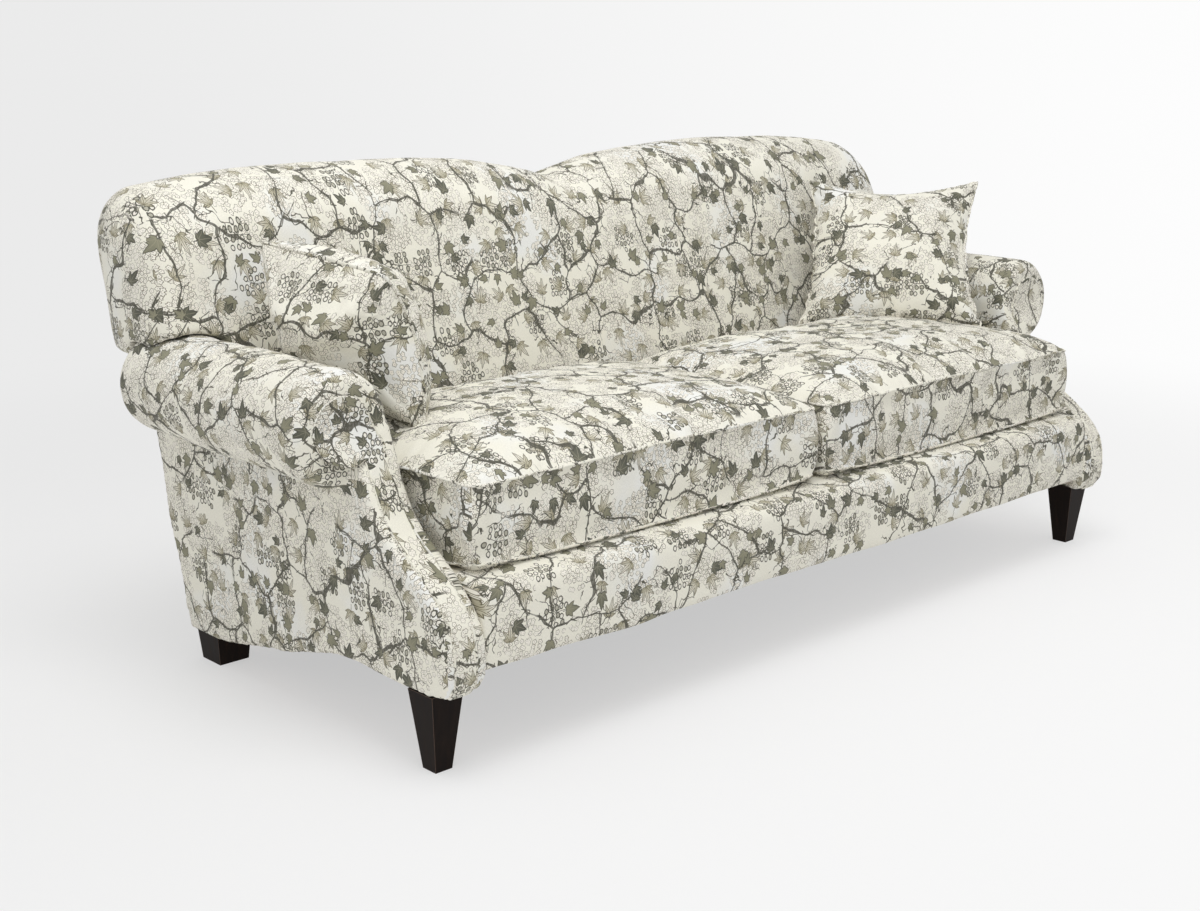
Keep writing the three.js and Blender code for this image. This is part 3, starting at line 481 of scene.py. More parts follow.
def edgeOf(wire, place, name, randomness=1.0):  # how far a place lies from the nearest edge of the cells
    return cells(wire, place, linen[name], randomness, "DISTANCE_TO_EDGE") * linen[name]


def cellFrame(wire, place, cell):  # place from the middle of its cell, turned at random, and the cell's draw
    draw = cell.out("Color")
    local = place.vector("SUBTRACT", cell.out("Position"))
    sockets = {"Vector": local, "Angle": draw.part("X") * (2 * math.pi)}
    return wire.make("ShaderNodeVectorRotate", {"rotation_type": "Z_AXIS"}, sockets), draw


def branchEdge(wire, place):  # how far a place lies from the nearest branch
    bent = warped(wire, warped(wire, place, 0.16, 0.12), 0.028, 0.009)
    return edgeOf(wire, bent, "branchCell", 0.95)


def lobed(turned, reach, lobes):  # how far inside a lobed leaf, its veins and stalk, and the share along it
    x = turned.part("X") + reach * 0.35
    y = abs(turned.part("Y"))
    inside, veins = None, None
    for turn, length, width in lobes:
        along = x * math.cos(turn) + y * math.sin(turn)
        across = abs(y * math.cos(turn) - x * math.sin(turn))
        share = (along / (length * reach)).larger(0.0).smaller(1.0)
        half = share.math("SQRT", share) * (1 - share) * (width * reach * 1.3) - 0.0003
        lobe = half - across
        vein = (linen["pen"] * 0.8 - across).smaller(share * 0.01).smaller((0.82 - share) * 0.01)
        inside = lobe if inside is None else inside.larger(lobe)
        veins = vein if veins is None else veins.larger(vein)
    stalk = (0.0008 - y).smaller(0.0 - x).smaller(x + reach * 0.45)
    return inside, veins, stalk, (x / reach).larger(0.0)


def outlined(inside):  # a pen line round the edge of a leaf
    pen = linen["pen"]
    return (pen - abs(inside - pen)).step(0, pen * 0.6) * (inside + pen).more(0.0)


def blossomHeads(wire, colour, place, drift):  # heads of small outlined florets, in two sets
    paleness = softNoise(wire, place, 0.03).step(0.3, 0.62) * 0.45 + 0.45
    for shift, reach, low, high in (((0.53, 0.31, 0), 0.92, 0.24, 1.1), ((0, 0, 0), 1.0, -0.1, 0.64)):
        moved = drift.vector("ADD", shift)
        floret = cells(wire, moved, linen["floretCell"])
        home = floret.out("Position")
        head = cells(wire, home, linen["clusterCell"], 0.6)
        lot = head.out("Color").part("Y")
        rim = softNoise(wire, home, 0.02) * 0.010
        room = linen["blossomReach"] * reach / linen["clusterCell"] - head - rim / linen["clusterCell"]
        shown = room.more(0.0) * lot.less(high) * lot.more(low)
        turn = moved.vector("SUBTRACT", home).angle() * 5 + floret.out("Color").part("X") * 6.3
        petals = turn.math("SINE", turn) * 0.06 + 0.37
        line = (0.080 - abs(floret - petals)).step(0, 0.05)
        heart = (0.10 - floret).step(0, 0.05)
        colour = colour.blend(dye("blossomFill"), (petals - floret).step(0, 0.05) * shown)
        colour = colour.blend(dye("blossom"), line.larger(heart * 0.8) * shown * paleness)
    return colour


def berryBunches(wire, colour, drift):  # on short stalks, in clusters that the second set leaves free
    pen, reach = linen["pen"], linen["berryReach"]
    berry = cells(wire, drift.vector("MULTIPLY", (1.0, 0.8, 1.0)), linen["berryCell"], 0.42)
    home = berry.out("Position").vector("MULTIPLY", (1.0, 1.25, 1.0))
    bunch = cells(wire, home, linen["clusterCell"], 0.6)
    shown = (reach / linen["clusterCell"] - bunch).more(0.0) * bunch.out("Color").part("Y").more(0.64)
    cluster = cells(wire, drift, linen["clusterCell"], 0.6)
    middle = drift.vector("SUBTRACT", cluster.out("Position"))
    spoke = middle.angle() * 3.5
    away = middle.length()
    stalk = (pen - abs(spoke.math("SINE", spoke)) * away * 0.28).step(0, pen * 0.7)
    stalk = stalk * (reach * 0.9 - away).step(0, 0.001) * cluster.out("Color").part("Y").more(0.64)
    colour = colour.blend(dye("twig"), stalk * (0.24 - berry).less(0.0))
    skin = (0.095 - abs(berry - 0.335)).step(0, 0.04)
    flesh = (0.335 - berry).step(0, 0.05)
    dark = berry.out("Color").part("X").step(0.45, 0.55) * 0.6 + 0.1
    colour = colour.blend(mixed(wire, dark, dye("blossomFill"), dye("berryFill")), flesh * shown)
    return colour.blend(dye("berry"), skin * shown)


def paleLeaves(wire, colour, place, drift):
    spray = cells(wire, drift, linen["sprayCell"], 0.75)
    turned, lot = cellFrame(wire, drift, spray)
    inside, veins, stem, share = lobed(turned, linen["sprayReach"], sprayLobes)
    shown = lot.part("Y").more(0.30)
    tint = (share * 0.8 + softNoise(wire, place, 0.012) * 0.5).step(0.2, 1.0) * 0.8
    fill = mixed(wire, tint, dye("taupeFill"), dye("blossomFill"))
    colour = colour.blend(fill, inside.step(0, linen["ink"]) * shown * 0.85)
    lines = outlined(inside).larger(veins.larger(stem).step(0, linen["pen"] * 0.5))
    return colour.blend(dye("taupe"), lines * shown)


def branches(wire, colour, place):  # fine twigs and thorns, then the branches
    edge = branchEdge(wire, place)
    near = (0.030 - edge).step(0, 0.006) * softNoise(wire, place, 0.045).step(0.47, 0.51)
    twig = linen["twigHalf"] - edgeOf(wire, warped(wire, place, 0.03, 0.03), "twigCell")
    twig = twig.step(0, 0.0005) * near
    thorn = (linen["thornReach"] - edge) * 0.3
    thorn = thorn.smaller(linen["thornHalf"] - edgeOf(wire, place, "thornCell")).step(0, linen["ink"])
    girth = softNoise(wire, place, 0.07) + 0.48
    kept = softNoise(wire, place, 0.24).step(0.34, 0.38)
    branch = (girth * linen["branchHalf"] - edge).step(0, 0.0006)
    colour = colour.blend(dye("twig"), twig.larger(thorn * kept))
    bark = softNoise(wire, place.vector("MULTIPLY", (1, 0.4, 1)), 0.0035).step(0.3, 0.7)
    return colour.blend(dye("branch"), branch * kept * (0.82 + bark * 0.18))


def darkLeaves(wire, colour, drift):  # two sizes of lobed leaves that keep near the branches
    for size, shift, low, pale in ((1.0, (0, 0, 0), 0.66, 0.50), (0.74, (0.37, 0.21, 0), 0.68, 0.36)):
        moved = drift.vector("ADD", shift)
        leaf = cells(wire, moved, linen["leafCell"] * size)
        gap = branchEdge(wire, leaf.out("Position").vector("SUBTRACT", shift))
        turned, lot = cellFrame(wire, moved, leaf)
        inside, veins, stem, share = lobed(turned, linen["leafReach"] * size, leafLobes)
        shown = lot.part("Y").more(low) * (linen["leafNear"] - gap).more(0.0)
        tone = (lot.part("Z").step(pale, pale + 0.15) * 0.75 + (1 - share) * 0.35).smaller(1.0)
        fill = mixed(wire, tone, dye("leaf"), dye("leafPale"))
        colour = colour.blend(fill, inside.step(0, linen["ink"]) * shown)
        colour = colour.blend(dye("leafLine"), outlined(inside).larger(stem.step(0, linen["ink"])) * shown)
        colour = colour.blend(dye("vein"), veins.step(0, linen["pen"] * 0.5) * shown * 0.55)
    return colour


def weave(wire, place):  # slubs along both threads
    fine, coarse = linen["weave"], linen["slub"]
    stretched = (place.vector("MULTIPLY", way) for way in ((fine, coarse, 1), (coarse, fine, 1)))
    return 0.5 * sum((softNoise(wire, way, 1.0, 1.0) for way in stretched), 0.0)


def printedLinen():
    material, wire, shader = newMaterial("printedLinen", linen["roughness"], linen["sheen"])
    place = wire.make("ShaderNodeUVMap", {"uv_map": "cloth"}, None, "UV")
    drift = warped(wire, warped(wire, place, 0.05, 0.007), 0.006, 0.0016)  # a hand-drawn waver
    washed = softNoise(wire, place, linen["washCell"], 3.0).step(0.50, 0.72)
    colour = mixed(wire, washed, dye("ground"), dye("wash"))
    colour = blossomHeads(wire, colour, place, drift)
    colour = berryBunches(wire, colour, drift)
    colour = paleLeaves(wire, colour, place, drift)
    colour = branches(wire, colour, place)
    colour = darkLeaves(wire, colour, drift)
    threads = weave(wire, place)
    grain = threads.step(0.3, 0.7)
    light = wire.make("ShaderNodeCombineXYZ", None, {0: grain, 1: grain, 2: grain})
    shade = {"data_type": "RGBA", "blend_type": "MULTIPLY"}
    colour = wire.make("ShaderNodeMix", shade, {0: 0.14, 6: colour, 7: light}, 2)
    finish(wire, shader, colour, 0.82 + grain * 0.12, threads, 0.4, linen["weaveDepth"])
    return material


# wood, plain cloth and steel

# the paler edge colour of the lacquer, with its share and reach, is a painted highlight along the rounded
# edges of the wood
lacquer = {"deep": "100a08", "brown": "1b120d", "light": "2b1d16", "highlight": "7a665a", "wearAndHighlight": 0.7,
           "highlightReach": 0.0016, "specular": 0.08, "grain": (70, 70, 6), "pores": (900, 900, 40)}


def darkWood():
    material, wire, shader = newMaterial("espressoWood", 0.42)
    shader.inputs["Specular IOR Level"].default_value = lacquer["specular"]
    grain = pieceNoise(wire, 1.6, 6.0, lacquer["grain"], 0.6)
    pores = pieceNoise(wire, 1.0, 2.0, lacquer["pores"])
    colour = ramp(wire, grain, (0.25, lacquer["deep"]), (0.6, lacquer["brown"]), (0.9, lacquer["light"]))
    flat = wire.make("ShaderNodeNewGeometry", None, None, "True Normal")
    eased = wire.make("ShaderNodeBevel", {"samples": 6}, {"Radius": lacquer["highlightReach"]}, "Normal")
    # painted highlight: the rounded edges get a paler brown, standing in for the light they catch
    paintedHighlight = (1 - eased.dot(flat)).step(0.02, 0.12)
    colour = colour.blend(srgb(lacquer["highlight"]), paintedHighlight * lacquer["wearAndHighlight"])
    finish(wire, shader, colour, 0.34 + grain * 0.2, grain * 0.6 + pores * 0.4, 0.25, 0.0006)
    return material


def beech():
    material, wire, shader = newMaterial("planedBeech", 0.65)
    grain = pieceNoise(wire, 2.0, 5.0, (6, 60, 60))
    finish(wire, shader, ramp(wire, grain, (0.3, "b48a5d"), (0.7, "d2ac7c")), 0.55 + grain * 0.2, grain, 0.3)
    return material


def plainCloth(name, pale, deep, size, roughness):
    material, wire, shader = newMaterial(name, roughness, sheen=0.08)
    weft = pieceNoise(wire, 1 / size, 3.0)
    finish(wire, shader, ramp(wire, weft, (0.3, deep), (0.7, pale)), None, weft, 0.4, 0.0008)
    return material


def steel():
    material, wire, shader = newMaterial("springSteel", 0.35, metallic=1.0)
    wearAndHighlight = pieceNoise(wire, 120.0, 4.0)
    finish(wire, shader, ramp(wire, wearAndHighlight, (0.3, "6d7073"), (0.7, "a4a7aa")), 0.28 + wearAndHighlight * 0.2)
    return material


materials = {
    "print_fabric": printedLinen(),
    "lining_cloth": plainCloth("calico", "ded8c8", "cfc8b6", 0.0016, 0.9),
    "foam_fill": plainCloth("foam", "f1e9d2", "e3d9bd", 0.003, 0.95),
    "frame_timber": beech(),
    "espresso_wood": darkWood(),
    "spring_steel": steel(),
    "jute_webbing": plainCloth("jute", "a8977a", "7d6d52", 0.004, 0.9),
    "dust_cloth": plainCloth("nonwoven", "2e2d2c", "1d1c1c", 0.002, 0.95),
}
print("materials ready")


def dressed(obj, body, *replaced, fill=None, slot="print_fabric"):  # gives a piece its cloth and its body
    obj.data.materials.clear()
    obj.data.materials.append(materials[slot])
    obj.data.polygons.foreach_set("use_smooth", [True] * len(obj.data.polygons))
    obj.data.update()
    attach(obj, body)
    if replaced:
        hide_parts(*replaced)
    return obj


# arms: rolled pads with soft scroll fronts, and an inset facing with a stitched seam

roll = {"radius": 0.100, "inner": 0.905, "height": 0.559, "front": -0.2545, "wave": 0.0020, "voxel": 0.0052,
        "wrinkle": 0.0006, "scrunch": 0.0016, "hem": 0.143, "hemReach": 0.022, "hemEnd": -0.40, "still": 0.07,
        "foot": 0.1}
roll["axis"] = roll["inner"] + roll["radius"]
panel = {"top": 0.478, "side": 0.978, "inside": 0.045, "underTurn": 1.42, "frontStretch": 1.12,
         "frontShift": 3.1}
facing = {"inner": 0.932, "outer": 0.976, "arch": 0.058, "headShare": 0.8, "low": 0.1445, "proud": 0.0011,
          "sunk": 0.0040, "inset": 0.004, "seamWidth": 0.0034, "seamHeight": 0.0017, "seamLift": 0.0004,
          "tuck": 0.0012, "tuckReach": 0.026, "tuckPitch": 0.021, "spacing": 0.004, "stitch": 0.0052,
          "stitchLength": 0.0034, "thread": 0.00042, "threadSpacing": 0.0026, "voxel": 0.0021, "wave": 0.0010}


def armFront(points, out=None, middle=None):  # the cloth of an arm's front, stretched along its sweep
    return np.stack([np.abs(points[:, 0]), points[:, 2] * panel["frontStretch"]], axis=1)


def unrollArm(points, out, middle):  # round the roll, down its inside and below it on the outer panel
    x, y, z = np.abs(points[:, 0]), points[:, 1], points[:, 2]
    middleX = np.abs(middle[:, 0])
    turn = np.arctan2(z - roll["height"], x - roll["axis"])  # none at the outer side, half a turn inside
    turn = np.where(turn < -math.pi / 2, turn + 2 * math.pi, turn)
    insideFace = (middle[:, 2] < roll["height"]) & (middleX < roll["axis"] - panel["inside"])
    outerFace = (middle[:, 2] < panel["top"]) & (middleX >= panel["side"])
    down = roll["radius"] * math.pi + (roll["height"] - z)
    below = z - panel["top"] - roll["radius"] * panel["underTurn"]
    v = np.where(insideFace, down, np.where(outerFace, below, roll["radius"] * turn))
    front = np.abs(out[:, 1] + 0.03) > 0.65
    return np.where(front[:, None], armFront(points) + panel["frontShift"], np.stack([y, v], axis=1))


def facingSeam(spacing):  # the outline of the facing in x and z, as one open path
    side = facing["outer"] - roll["axis"]
    start = -math.pi + math.acos(-side / facing["arch"])
    turns = np.linspace(start, math.pi * facing["headShare"], 60)
    arch = facing["arch"] * np.stack([np.cos(turns), np.sin(turns)], axis=1) + (roll["axis"], roll["height"])
    low, neck = facing["low"], roll["height"] - facing["arch"] / 2
    path = np.concatenate([[(facing["outer"], low)], arch, [(facing["inner"], neck), (facing["inner"], low)]])
    return resampled(path, spacing, closed=False)


def inside(points, outline):  # which points lie in a closed outline, both in a plane
    x, z = points[:, 0], points[:, 1]
    hit = np.zeros(len(points), dtype=bool)
    for (ax, az), (bx, bz) in zip(outline, np.roll(outline, -1, axis=0)):
        if az != bz:
            hit ^= ((az > z) != (bz > z)) & (x < (bx - ax) * (z - az) / (bz - az) + ax)
    return hit


def onFront(obj, path):  # lays a path in x and z on the front of a piece, seen from well in front of it
    tree = BVHTree.FromObject(obj, bpy.context.evaluated_depsgraph_get())
    points, out = [], []
    for x, z in path:
        place, normal = tree.ray_cast((x, -1.2, z), (0, 1, 0))[:2]
        if place is not None:
            points.append(place)
            out.append(normal)
    out = np.array(out)
    for _ in range(4):  # eases the way out along the path
        out[1:-1] = (out[:-2] + out[1:-1] * 2 + out[2:]) / 4
    return np.array(points), unit(out)


def shapedArm():
    nodes = ("arm_pad_right", "arm_facing_right", "outside_arm_panel_right")
    arm = fromCad(nodes, "arm_upholstery_right", roll["voxel"], 7)
    points, out = coords(arm), normals(arm)
    # the scroll and the foot of the outer panel stay calm
    away = np.hypot(points[:, 0] - roll["axis"], points[:, 2] - roll["height"])
    outside = fade((away - roll["still"]) / 0.02) * (points[:, 2] > roll["foot"])
    swell = roll["wave"] * ripple(points, 0.24, 5) + roll["wrinkle"] * ripple(points, 0.07, 6)
    points = points + out * (swell * outside)[:, None]
    nearHem = fade(1 - (points[:, 2] - roll["hem"]) / roll["hemReach"])
    nearHem = nearHem * fade((roll["hemEnd"] - points[:, 1]) / 0.03)
    points[:, 2] += roll["scrunch"] * ripple(points * np.array([1, 1, 0]), 0.020, 17) * nearHem
    setCoords(arm, points)
    outline = facingSeam(facing["spacing"])
    seam, lean = onFront(arm, outline)
    puckered(arm, seam, facing["spacing"], facing, 8)
    points = coords(arm)
    outline = outline + np.sign(outline.mean(axis=0) - outline) * facing["inset"]
    onScroll = (points[:, 1] < roll["front"] + 0.03) & (normals(arm)[:, 1] < -0.2)
    points[inside(points[:, [0, 2]], outline) & onScroll, 1] += facing["sunk"]
    setCoords(arm, points)
    return arm, seam, lean


def shapedFacing():
    piece = fromCad(("arm_facing_right",), "scroll_facing_right", facing["voxel"], 5)
    points = coords(piece)
    puff = facing["proud"] + facing["wave"] * ripple(points, 0.09, 14)
    setCoords(piece, points + normals(piece) * puff[:, None])
    return piece


def facingStitches(seam, lean):  # the thread that holds the facing, along its seam
    fine = resampled(np.concatenate([seam, lean], axis=1), facing["threadSpacing"], closed=False)
    return stitchRow("scroll_facing_thread_right", fine[:, :3], fine[:, 3:], facing["stitch"],
                     facing["stitchLength"], facing["thread"], facing["seamHeight"] * 0.9)


rightArm, seamPath, seamLean = shapedArm()
leftArm = mirrored(rightArm, "arm_upholstery_left")
for side, arm, offset in (("right", rightArm, (0.4, 0.7)), ("left", leftArm, (2.3, 1.1))):
    layCloth(arm, unrollArm, offset)
    dressed(arm, "frame", f"arm_pad_{side}", f"outside_arm_panel_{side}", fill=0.85)
rightFacing = shapedFacing()
leftFacing = mirrored(rightFacing, "scroll_facing_left")
seamLine = seamPath + seamLean * facing["seamLift"]
rightSeam = seamRidge("scroll_facing_seam_right", seamLine, seamLean, facing, False, 3)
leftSeam = mirrored(rightSeam, "scroll_facing_seam_left")
rightThread = facingStitches(seamLine, seamLean)
leftThread = mirrored(rightThread, "scroll_facing_thread_left")
for side, front, seam, stitches, offset in (("right", rightFacing, rightSeam, rightThread, (5.2, 0.3)),
                                            ("left", leftFacing, leftSeam, leftThread, (6.9, 1.7))):
    layCloth(front, armFront, offset)
    dressed(front, "frame", f"arm_facing_{side}", fill=0.5)
    dressed(seam, "frame")
    dressed(stitches, "frame", slot="lining_cloth")
print("arms upholstered")

# back: tight humped pad with ears, and a flat outside back

back = {"voxel": 0.008, "outsideVoxel": 0.006, "crown": 0.106, "arc": 0.100, "wave": 0.0022,
        "wrinkle": 0.0008, "valley": 0.006, "valleyHalf": 0.035, "valleyFoot": 0.62, "valleyReach": 0.25,
        "halfWidth": 1.04, "column": 0.02, "ends": 1.07, "endY": 0.3}
backLean = ([0.33, 0.94], [0.26, 0.42])  # heights, and the y of the middle of the back at each


def unrollBack(points, out, middle):  # up the front, over the top and down behind, one column at a time
    x, y, z = points[:, 0], points[:, 1], points[:, 2]
    order = np.round(np.clip(np.abs(x), 0, back["halfWidth"]) / back["column"]).astype(int)
    tops = np.zeros(order.max() + 1)
    np.maximum.at(tops, order, z)
    shoulder = tops[order] - back["crown"]
    middleY = np.interp(z, *backLean)
    turn = np.arctan2(np.maximum(z - shoulder, 0), middleY - y)
    over = np.where(y < middleY, z, shoulder + back["arc"] * math.pi + shoulder - z)
    v = np.where(z > shoulder, shoulder + back["arc"] * turn, over)
    end = np.stack([np.sign(x) * (back["ends"] + (y - back["endY"])), z], axis=1)
    return np.where((np.abs(out[:, 0]) > 0.8)[:, None], end, np.stack([x, v], axis=1))


def shapedBack():
    pad = fromCad(("back_pad",), "back_upholstery", back["voxel"], 12)
    points, out = coords(pad), normals(pad)
    swell = back["wave"] * ripple(points, 0.42, 11) + back["wrinkle"] * ripple(points, 0.11, 12)
    valley = back["valley"] * np.exp(-(points[:, 0] / back["valleyHalf"]) ** 2)
    valley = valley * fade((points[:, 2] - back["valleyFoot"]) / back["valleyReach"]) * (out[:, 1] < 0.3)
    setCoords(pad, points + out * (swell - valley)[:, None])
    return pad


def flatBack(points, out, middle):
    return points[:, [0, 2]]


backPad = shapedBack()
layCloth(backPad, unrollBack, (12.4, 3.3))
dressed(backPad, "frame", "back_pad", fill=0.8)
outsideBack = fromCad(("back_outside_panel",), "outside_back", back["outsideVoxel"], 3)
layCloth(outsideBack, flatBack, (20.2, 5.1))
dressed(outsideBack, "frame", "back_outside_panel", fill=0.4)

# front border, padded, with a soft rippled lower edge

border = {"voxel": 0.0055, "ripple": 0.0020, "hang": 0.0045, "crown": 0.004, "reach": 0.005, "hem": 0.174,
          "hemReach": 0.06, "ends": 0.86, "endReach": 0.03, "shoulder": 0.28, "round": 0.01}


def unrollBorder(points, out, middle):
    y, z = points[:, 1], points[:, 2]
    over = np.maximum(y - y.min() - border["round"], 0) * (out[:, 2] > 0.3)
    return np.stack([points[:, 0], z + over], axis=1)


def shapedBorder():
    pad = fromCad(("front_border",), "front_border_upholstery", border["voxel"], 7)
    points = coords(pad)
    low = fade(1 - (points[:, 2] - border["hem"]) / border["hemReach"])
    along = points * np.array([1, 0, 0])
    outer = fade((np.abs(points[:, 0]) - border["ends"]) / border["endReach"])
    points[:, 0] += np.sign(points[:, 0]) * border["reach"] * outer
    points[:, 2] += border["hang"] * ripple(along, 0.20, 21) * low * 0.5
    points[:, 1] += border["ripple"] * (ripple(along, 0.13, 22) * low + 0.7 * ripple(points, 0.3, 23))
    top = fade((points[:, 2] - border["shoulder"]) / 0.03)
    points[:, 2] += border["crown"] * top * (1 + 0.3 * ripple(along, 0.25, 24))
    setCoords(pad, points)
    return pad


frontBorder = shapedBorder()
layCloth(frontBorder, unrollBorder, (30.3, 2.2))
dressed(frontBorder, "frame", "front_border", fill=0.7)

# the cloth of each front corner turned up onto the inside of the side rail, in front of the dust cover

hem = {"side": 0.9293, "front": -0.4738, "rear": -0.4246, "low": 0.1434, "high": 0.1736, "sheet": 0.0008,
       "sag": 0.0009, "fray": 0.0006, "rows": 9, "columns": 15}


def turnedHem():
    rows, columns = hem["rows"], hem["columns"]
    up, along = np.meshgrid(np.linspace(0, 1, rows), np.linspace(0, 1, columns), indexing="ij")
    points = np.stack([np.zeros_like(up), hem["front"] + along * (hem["rear"] - hem["front"]),
                       hem["low"] + up * (hem["high"] - hem["low"])], axis=-1).reshape(-1, 3)
    points[:, 0] = hem["side"] - hem["sag"] * (1 + ripple(points, 0.02, 27)) * np.sin(math.pi * up.ravel())
    points[:, 2] += hem["fray"] * ripple(points, 0.015, 28) * (up.ravel() > 0.9)
    starts = [i * columns + j for i in range(rows - 1) for j in range(columns - 1)]
    faces = [(k, k + 1, k + columns + 1, k + columns) for k in starts]
    obj = meshFrom("turned_hem_right", points, faces)
    body = obj.modifiers.new("cloth", "SOLIDIFY")
    body.thickness = hem["sheet"]
    return applied(obj)


def flatHem(points, out, middle):
    return points[:, [1, 2]]


rightHem = turnedHem()
leftHem = mirrored(rightHem, "turned_hem_left")
for side, piece, offset in (("right", rightHem, (9.1, 4.4)), ("left", leftHem, (9.8, 4.9))):
    layCloth(piece, flatHem, offset)
    dressed(piece, "frame")
print("back, border and corners upholstered")

# cloth simulation and panels, shared by the loose cushions

fabric = {"quality": 6, "mass": 0.3, "tension_stiffness": 18, "compression_stiffness": 18,
          "shear_stiffness": 6, "use_pressure": True}
weld = 1e5  # panels are joined where their places agree to a hundredth of a millimetre


def inflated(obj, piece, pinned, pinWeights):  # blows a piece up from within while its seams are held
    start = coords(obj)
    group = obj.vertex_groups.new(name="held")
    for index, weight in zip(pinned, pinWeights):
        group.add([int(index)], float(weight), "REPLACE")
    modifier = obj.modifiers.new("cloth", "CLOTH")
    settings = modifier.settings
    for name, value in fabric.items():
        setattr(settings, name, value)
    settings.bending_stiffness = piece["bending"]
    settings.uniform_pressure_force = piece["pressure"]
    settings.shrink_min = -piece["spare"]
    settings.effector_weights.gravity = 0
    settings.vertex_group_mass = "held"
    modifier.collision_settings.use_collision = False
    modifier.collision_settings.use_self_collision = False
    modifier.point_cache.frame_start = 1
    modifier.point_cache.frame_end = piece["frames"]
    for number in range(1, piece["frames"] + 1):
        scene.frame_set(number)
    applied(obj)
    scene.frame_set(1)
    moved = coords(obj) - start
    length = np.linalg.norm(moved, axis=1)
    moved *= np.minimum(1, piece["cap"] / np.maximum(length, tiny))[:, None]
    setCoords(obj, start + moved)


def panelMesh(name, panels):  # welds grids of points that share their edges, and gives each grid's vertices
    index = {}
    points, faces, flats, grids = [], [], [], []
    for grid, flat, reverse in panels:
        rows, columns = grid.shape[:2]
        ids = np.empty((rows, columns), dtype=int)
        for i in range(rows):
            for j in range(columns):
                key = tuple(np.round(grid[i, j] * weld).astype(int))
                if key not in index:
                    index[key] = len(points)
                    points.append(grid[i, j])
                ids[i, j] = index[key]
        for i in range(rows - 1):
            for j in range(columns - 1):
                corners = [(i, j), (i + 1, j), (i + 1, j + 1), (i, j + 1)]
                if reverse:
                    corners.reverse()
                face = [ids[c] for c in corners]
                if len(set(face)) == 4:
                    faces.append(face)
                    flats.extend(flat[c] for c in corners)
        grids.append(ids)
    obj = meshFrom(name, points, faces)
    setCloth(obj, flats)
    return obj, grids


def rimOf(grid):  # the places round the edge of a grid, in order, ending where they start
    return np.concatenate([grid[:, 0], grid[-1, 1:], grid[-2::-1, -1], grid[0, -2::-1]])


# seat cushions: boxed, crowned, with drawn-in sides and plain seams

seat = {"cell": 0.0105, "corner": 0.032, "bulge": 0.011, "drawIn": 0.006, "drawPower": 7, "crown": 0.055,
        "belly": 0.018, "boxing": 0.132, "fullness": 2.6, "ease": 0.60, "turnIn": 0.05, "pressure": 3.2,
        "frames": 16, "cap": 0.013, "spare": 0.02, "bending": 1.0, "droop": 0.0155, "seamWidth": 0.0042,
        "seamHeight": 0.0020, "seamHold": 0.55, "spacing": 0.0045, "tuck": 0.0016, "tuckReach": 0.040,
        "tuckPitch": 0.030, "sleep": 0.0018, "underShift": 4.4, "wallShift": 2.2}


def rounded(u, v, half, corner):  # square grid places moved onto a rounded rectangle
    p = np.stack([u * half[0], v * half[1]], axis=-1)
    core = np.clip(p, corner - np.array(half), np.array(half) - corner)
    off = p - core
    worst = np.abs(off).max(axis=-1)
    length = np.linalg.norm(off, axis=-1)
    return core + off * (worst / np.maximum(length, tiny))[..., None]


def outwardOf(u, v):  # the way out of a wall at each place round its rim
    near = 0.93  # share of the half width at which a side begins to turn its corner
    return unit(np.stack([np.where(np.abs(k) > near, np.sign(k), 0) for k in (u, v)], axis=1))


def seatPanels(side, shift):  # how high it rests, and its top, its underside and the wall between them
    low, high = (Vector(v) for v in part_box(f"seat_cover_{side}"))
    half = ((high.x - low.x) / 2 - seat["bulge"], (high.y - low.y) / 2 - seat["bulge"])
    middle = np.array(((high.x + low.x) / 2, (high.y + low.y) / 2))
    lowSeam = low.z + seat["belly"]
    highSeam = lowSeam + seat["boxing"]
    columns, rows = (int(2 * h / seat["cell"]) for h in half)
    u, v = np.meshgrid(np.linspace(-1, 1, columns + 1), np.linspace(-1, 1, rows + 1), indexing="ij")
    power, fullness = seat["drawPower"], seat["fullness"]
    pull = np.stack([u ** power * (1 - v ** 2), v ** power * (1 - u ** 2)], axis=-1) * seat["drawIn"]
    plan = rounded(u, v, half, seat["corner"]) + middle - pull
    rise = ((1 - np.abs(u) ** fullness) * (1 - np.abs(v) ** fullness)) ** seat["ease"]
    top = np.concatenate([plan, (highSeam + seat["crown"] * rise)[..., None]], axis=-1)
    worst, least = np.maximum(np.abs(u), np.abs(v)), np.minimum(np.abs(u), np.abs(v))
    inward = np.minimum(1, (1 - worst) / seat["turnIn"])
    depth = np.sqrt(inward * (2 - inward))
    seamZ = lowSeam - seat["droop"] * (1 - least ** 4)
    under = np.concatenate([plan, (seamZ + (low.z - seamZ) * depth)[..., None]], axis=-1)
    rimPlan, rimLow = rimOf(plan), rimOf(under)[:, 2]
    outward = outwardOf(rimOf(u), rimOf(v))
    levels = max(4, int(seat["boxing"] / seat["cell"]))
    share = np.linspace(0, 1, levels + 1)
    wall = np.empty((len(rimPlan), levels + 1, 3))
    for k, t in enumerate(share):
        wall[:, k, :2] = rimPlan + outward * seat["bulge"] * 4 * t * (1 - t)
        wall[:, k, 2] = rimLow + (highSeam - rimLow) * t
    wallFlat = np.broadcast_arrays(walkedAlong(rimPlan)[:, None], share[None] * seat["boxing"])
    wallFlat = np.stack(wallFlat, axis=-1)
    shift = np.array(shift)
    return low.z, [(top, plan + shift, False), (under, plan + shift + seat["underShift"], True),
                   (wall, wallFlat + shift + seat["wallShift"], True)]


def seatSeam(obj, side, label, ids, up):  # tucks along a seam of a seat cushion, and the ridge of the seam
    points, out = coords(obj), normals(obj)
    lean = out[ids] + np.array([0, 0, up])
    both = resampled(np.concatenate([points[ids], lean], axis=1), seat["spacing"])
    path, lean = both[:, :3], unit(both[:, 3:])
    puckered(obj, path, seat["spacing"], seat, 50 + len(side + label))
    ridge = seamRidge(f"seat_cushion_{label}_seam_{side}", path, lean, seat, True, len(label))
    dressed(ridge, f"seat_cushion_{side}")


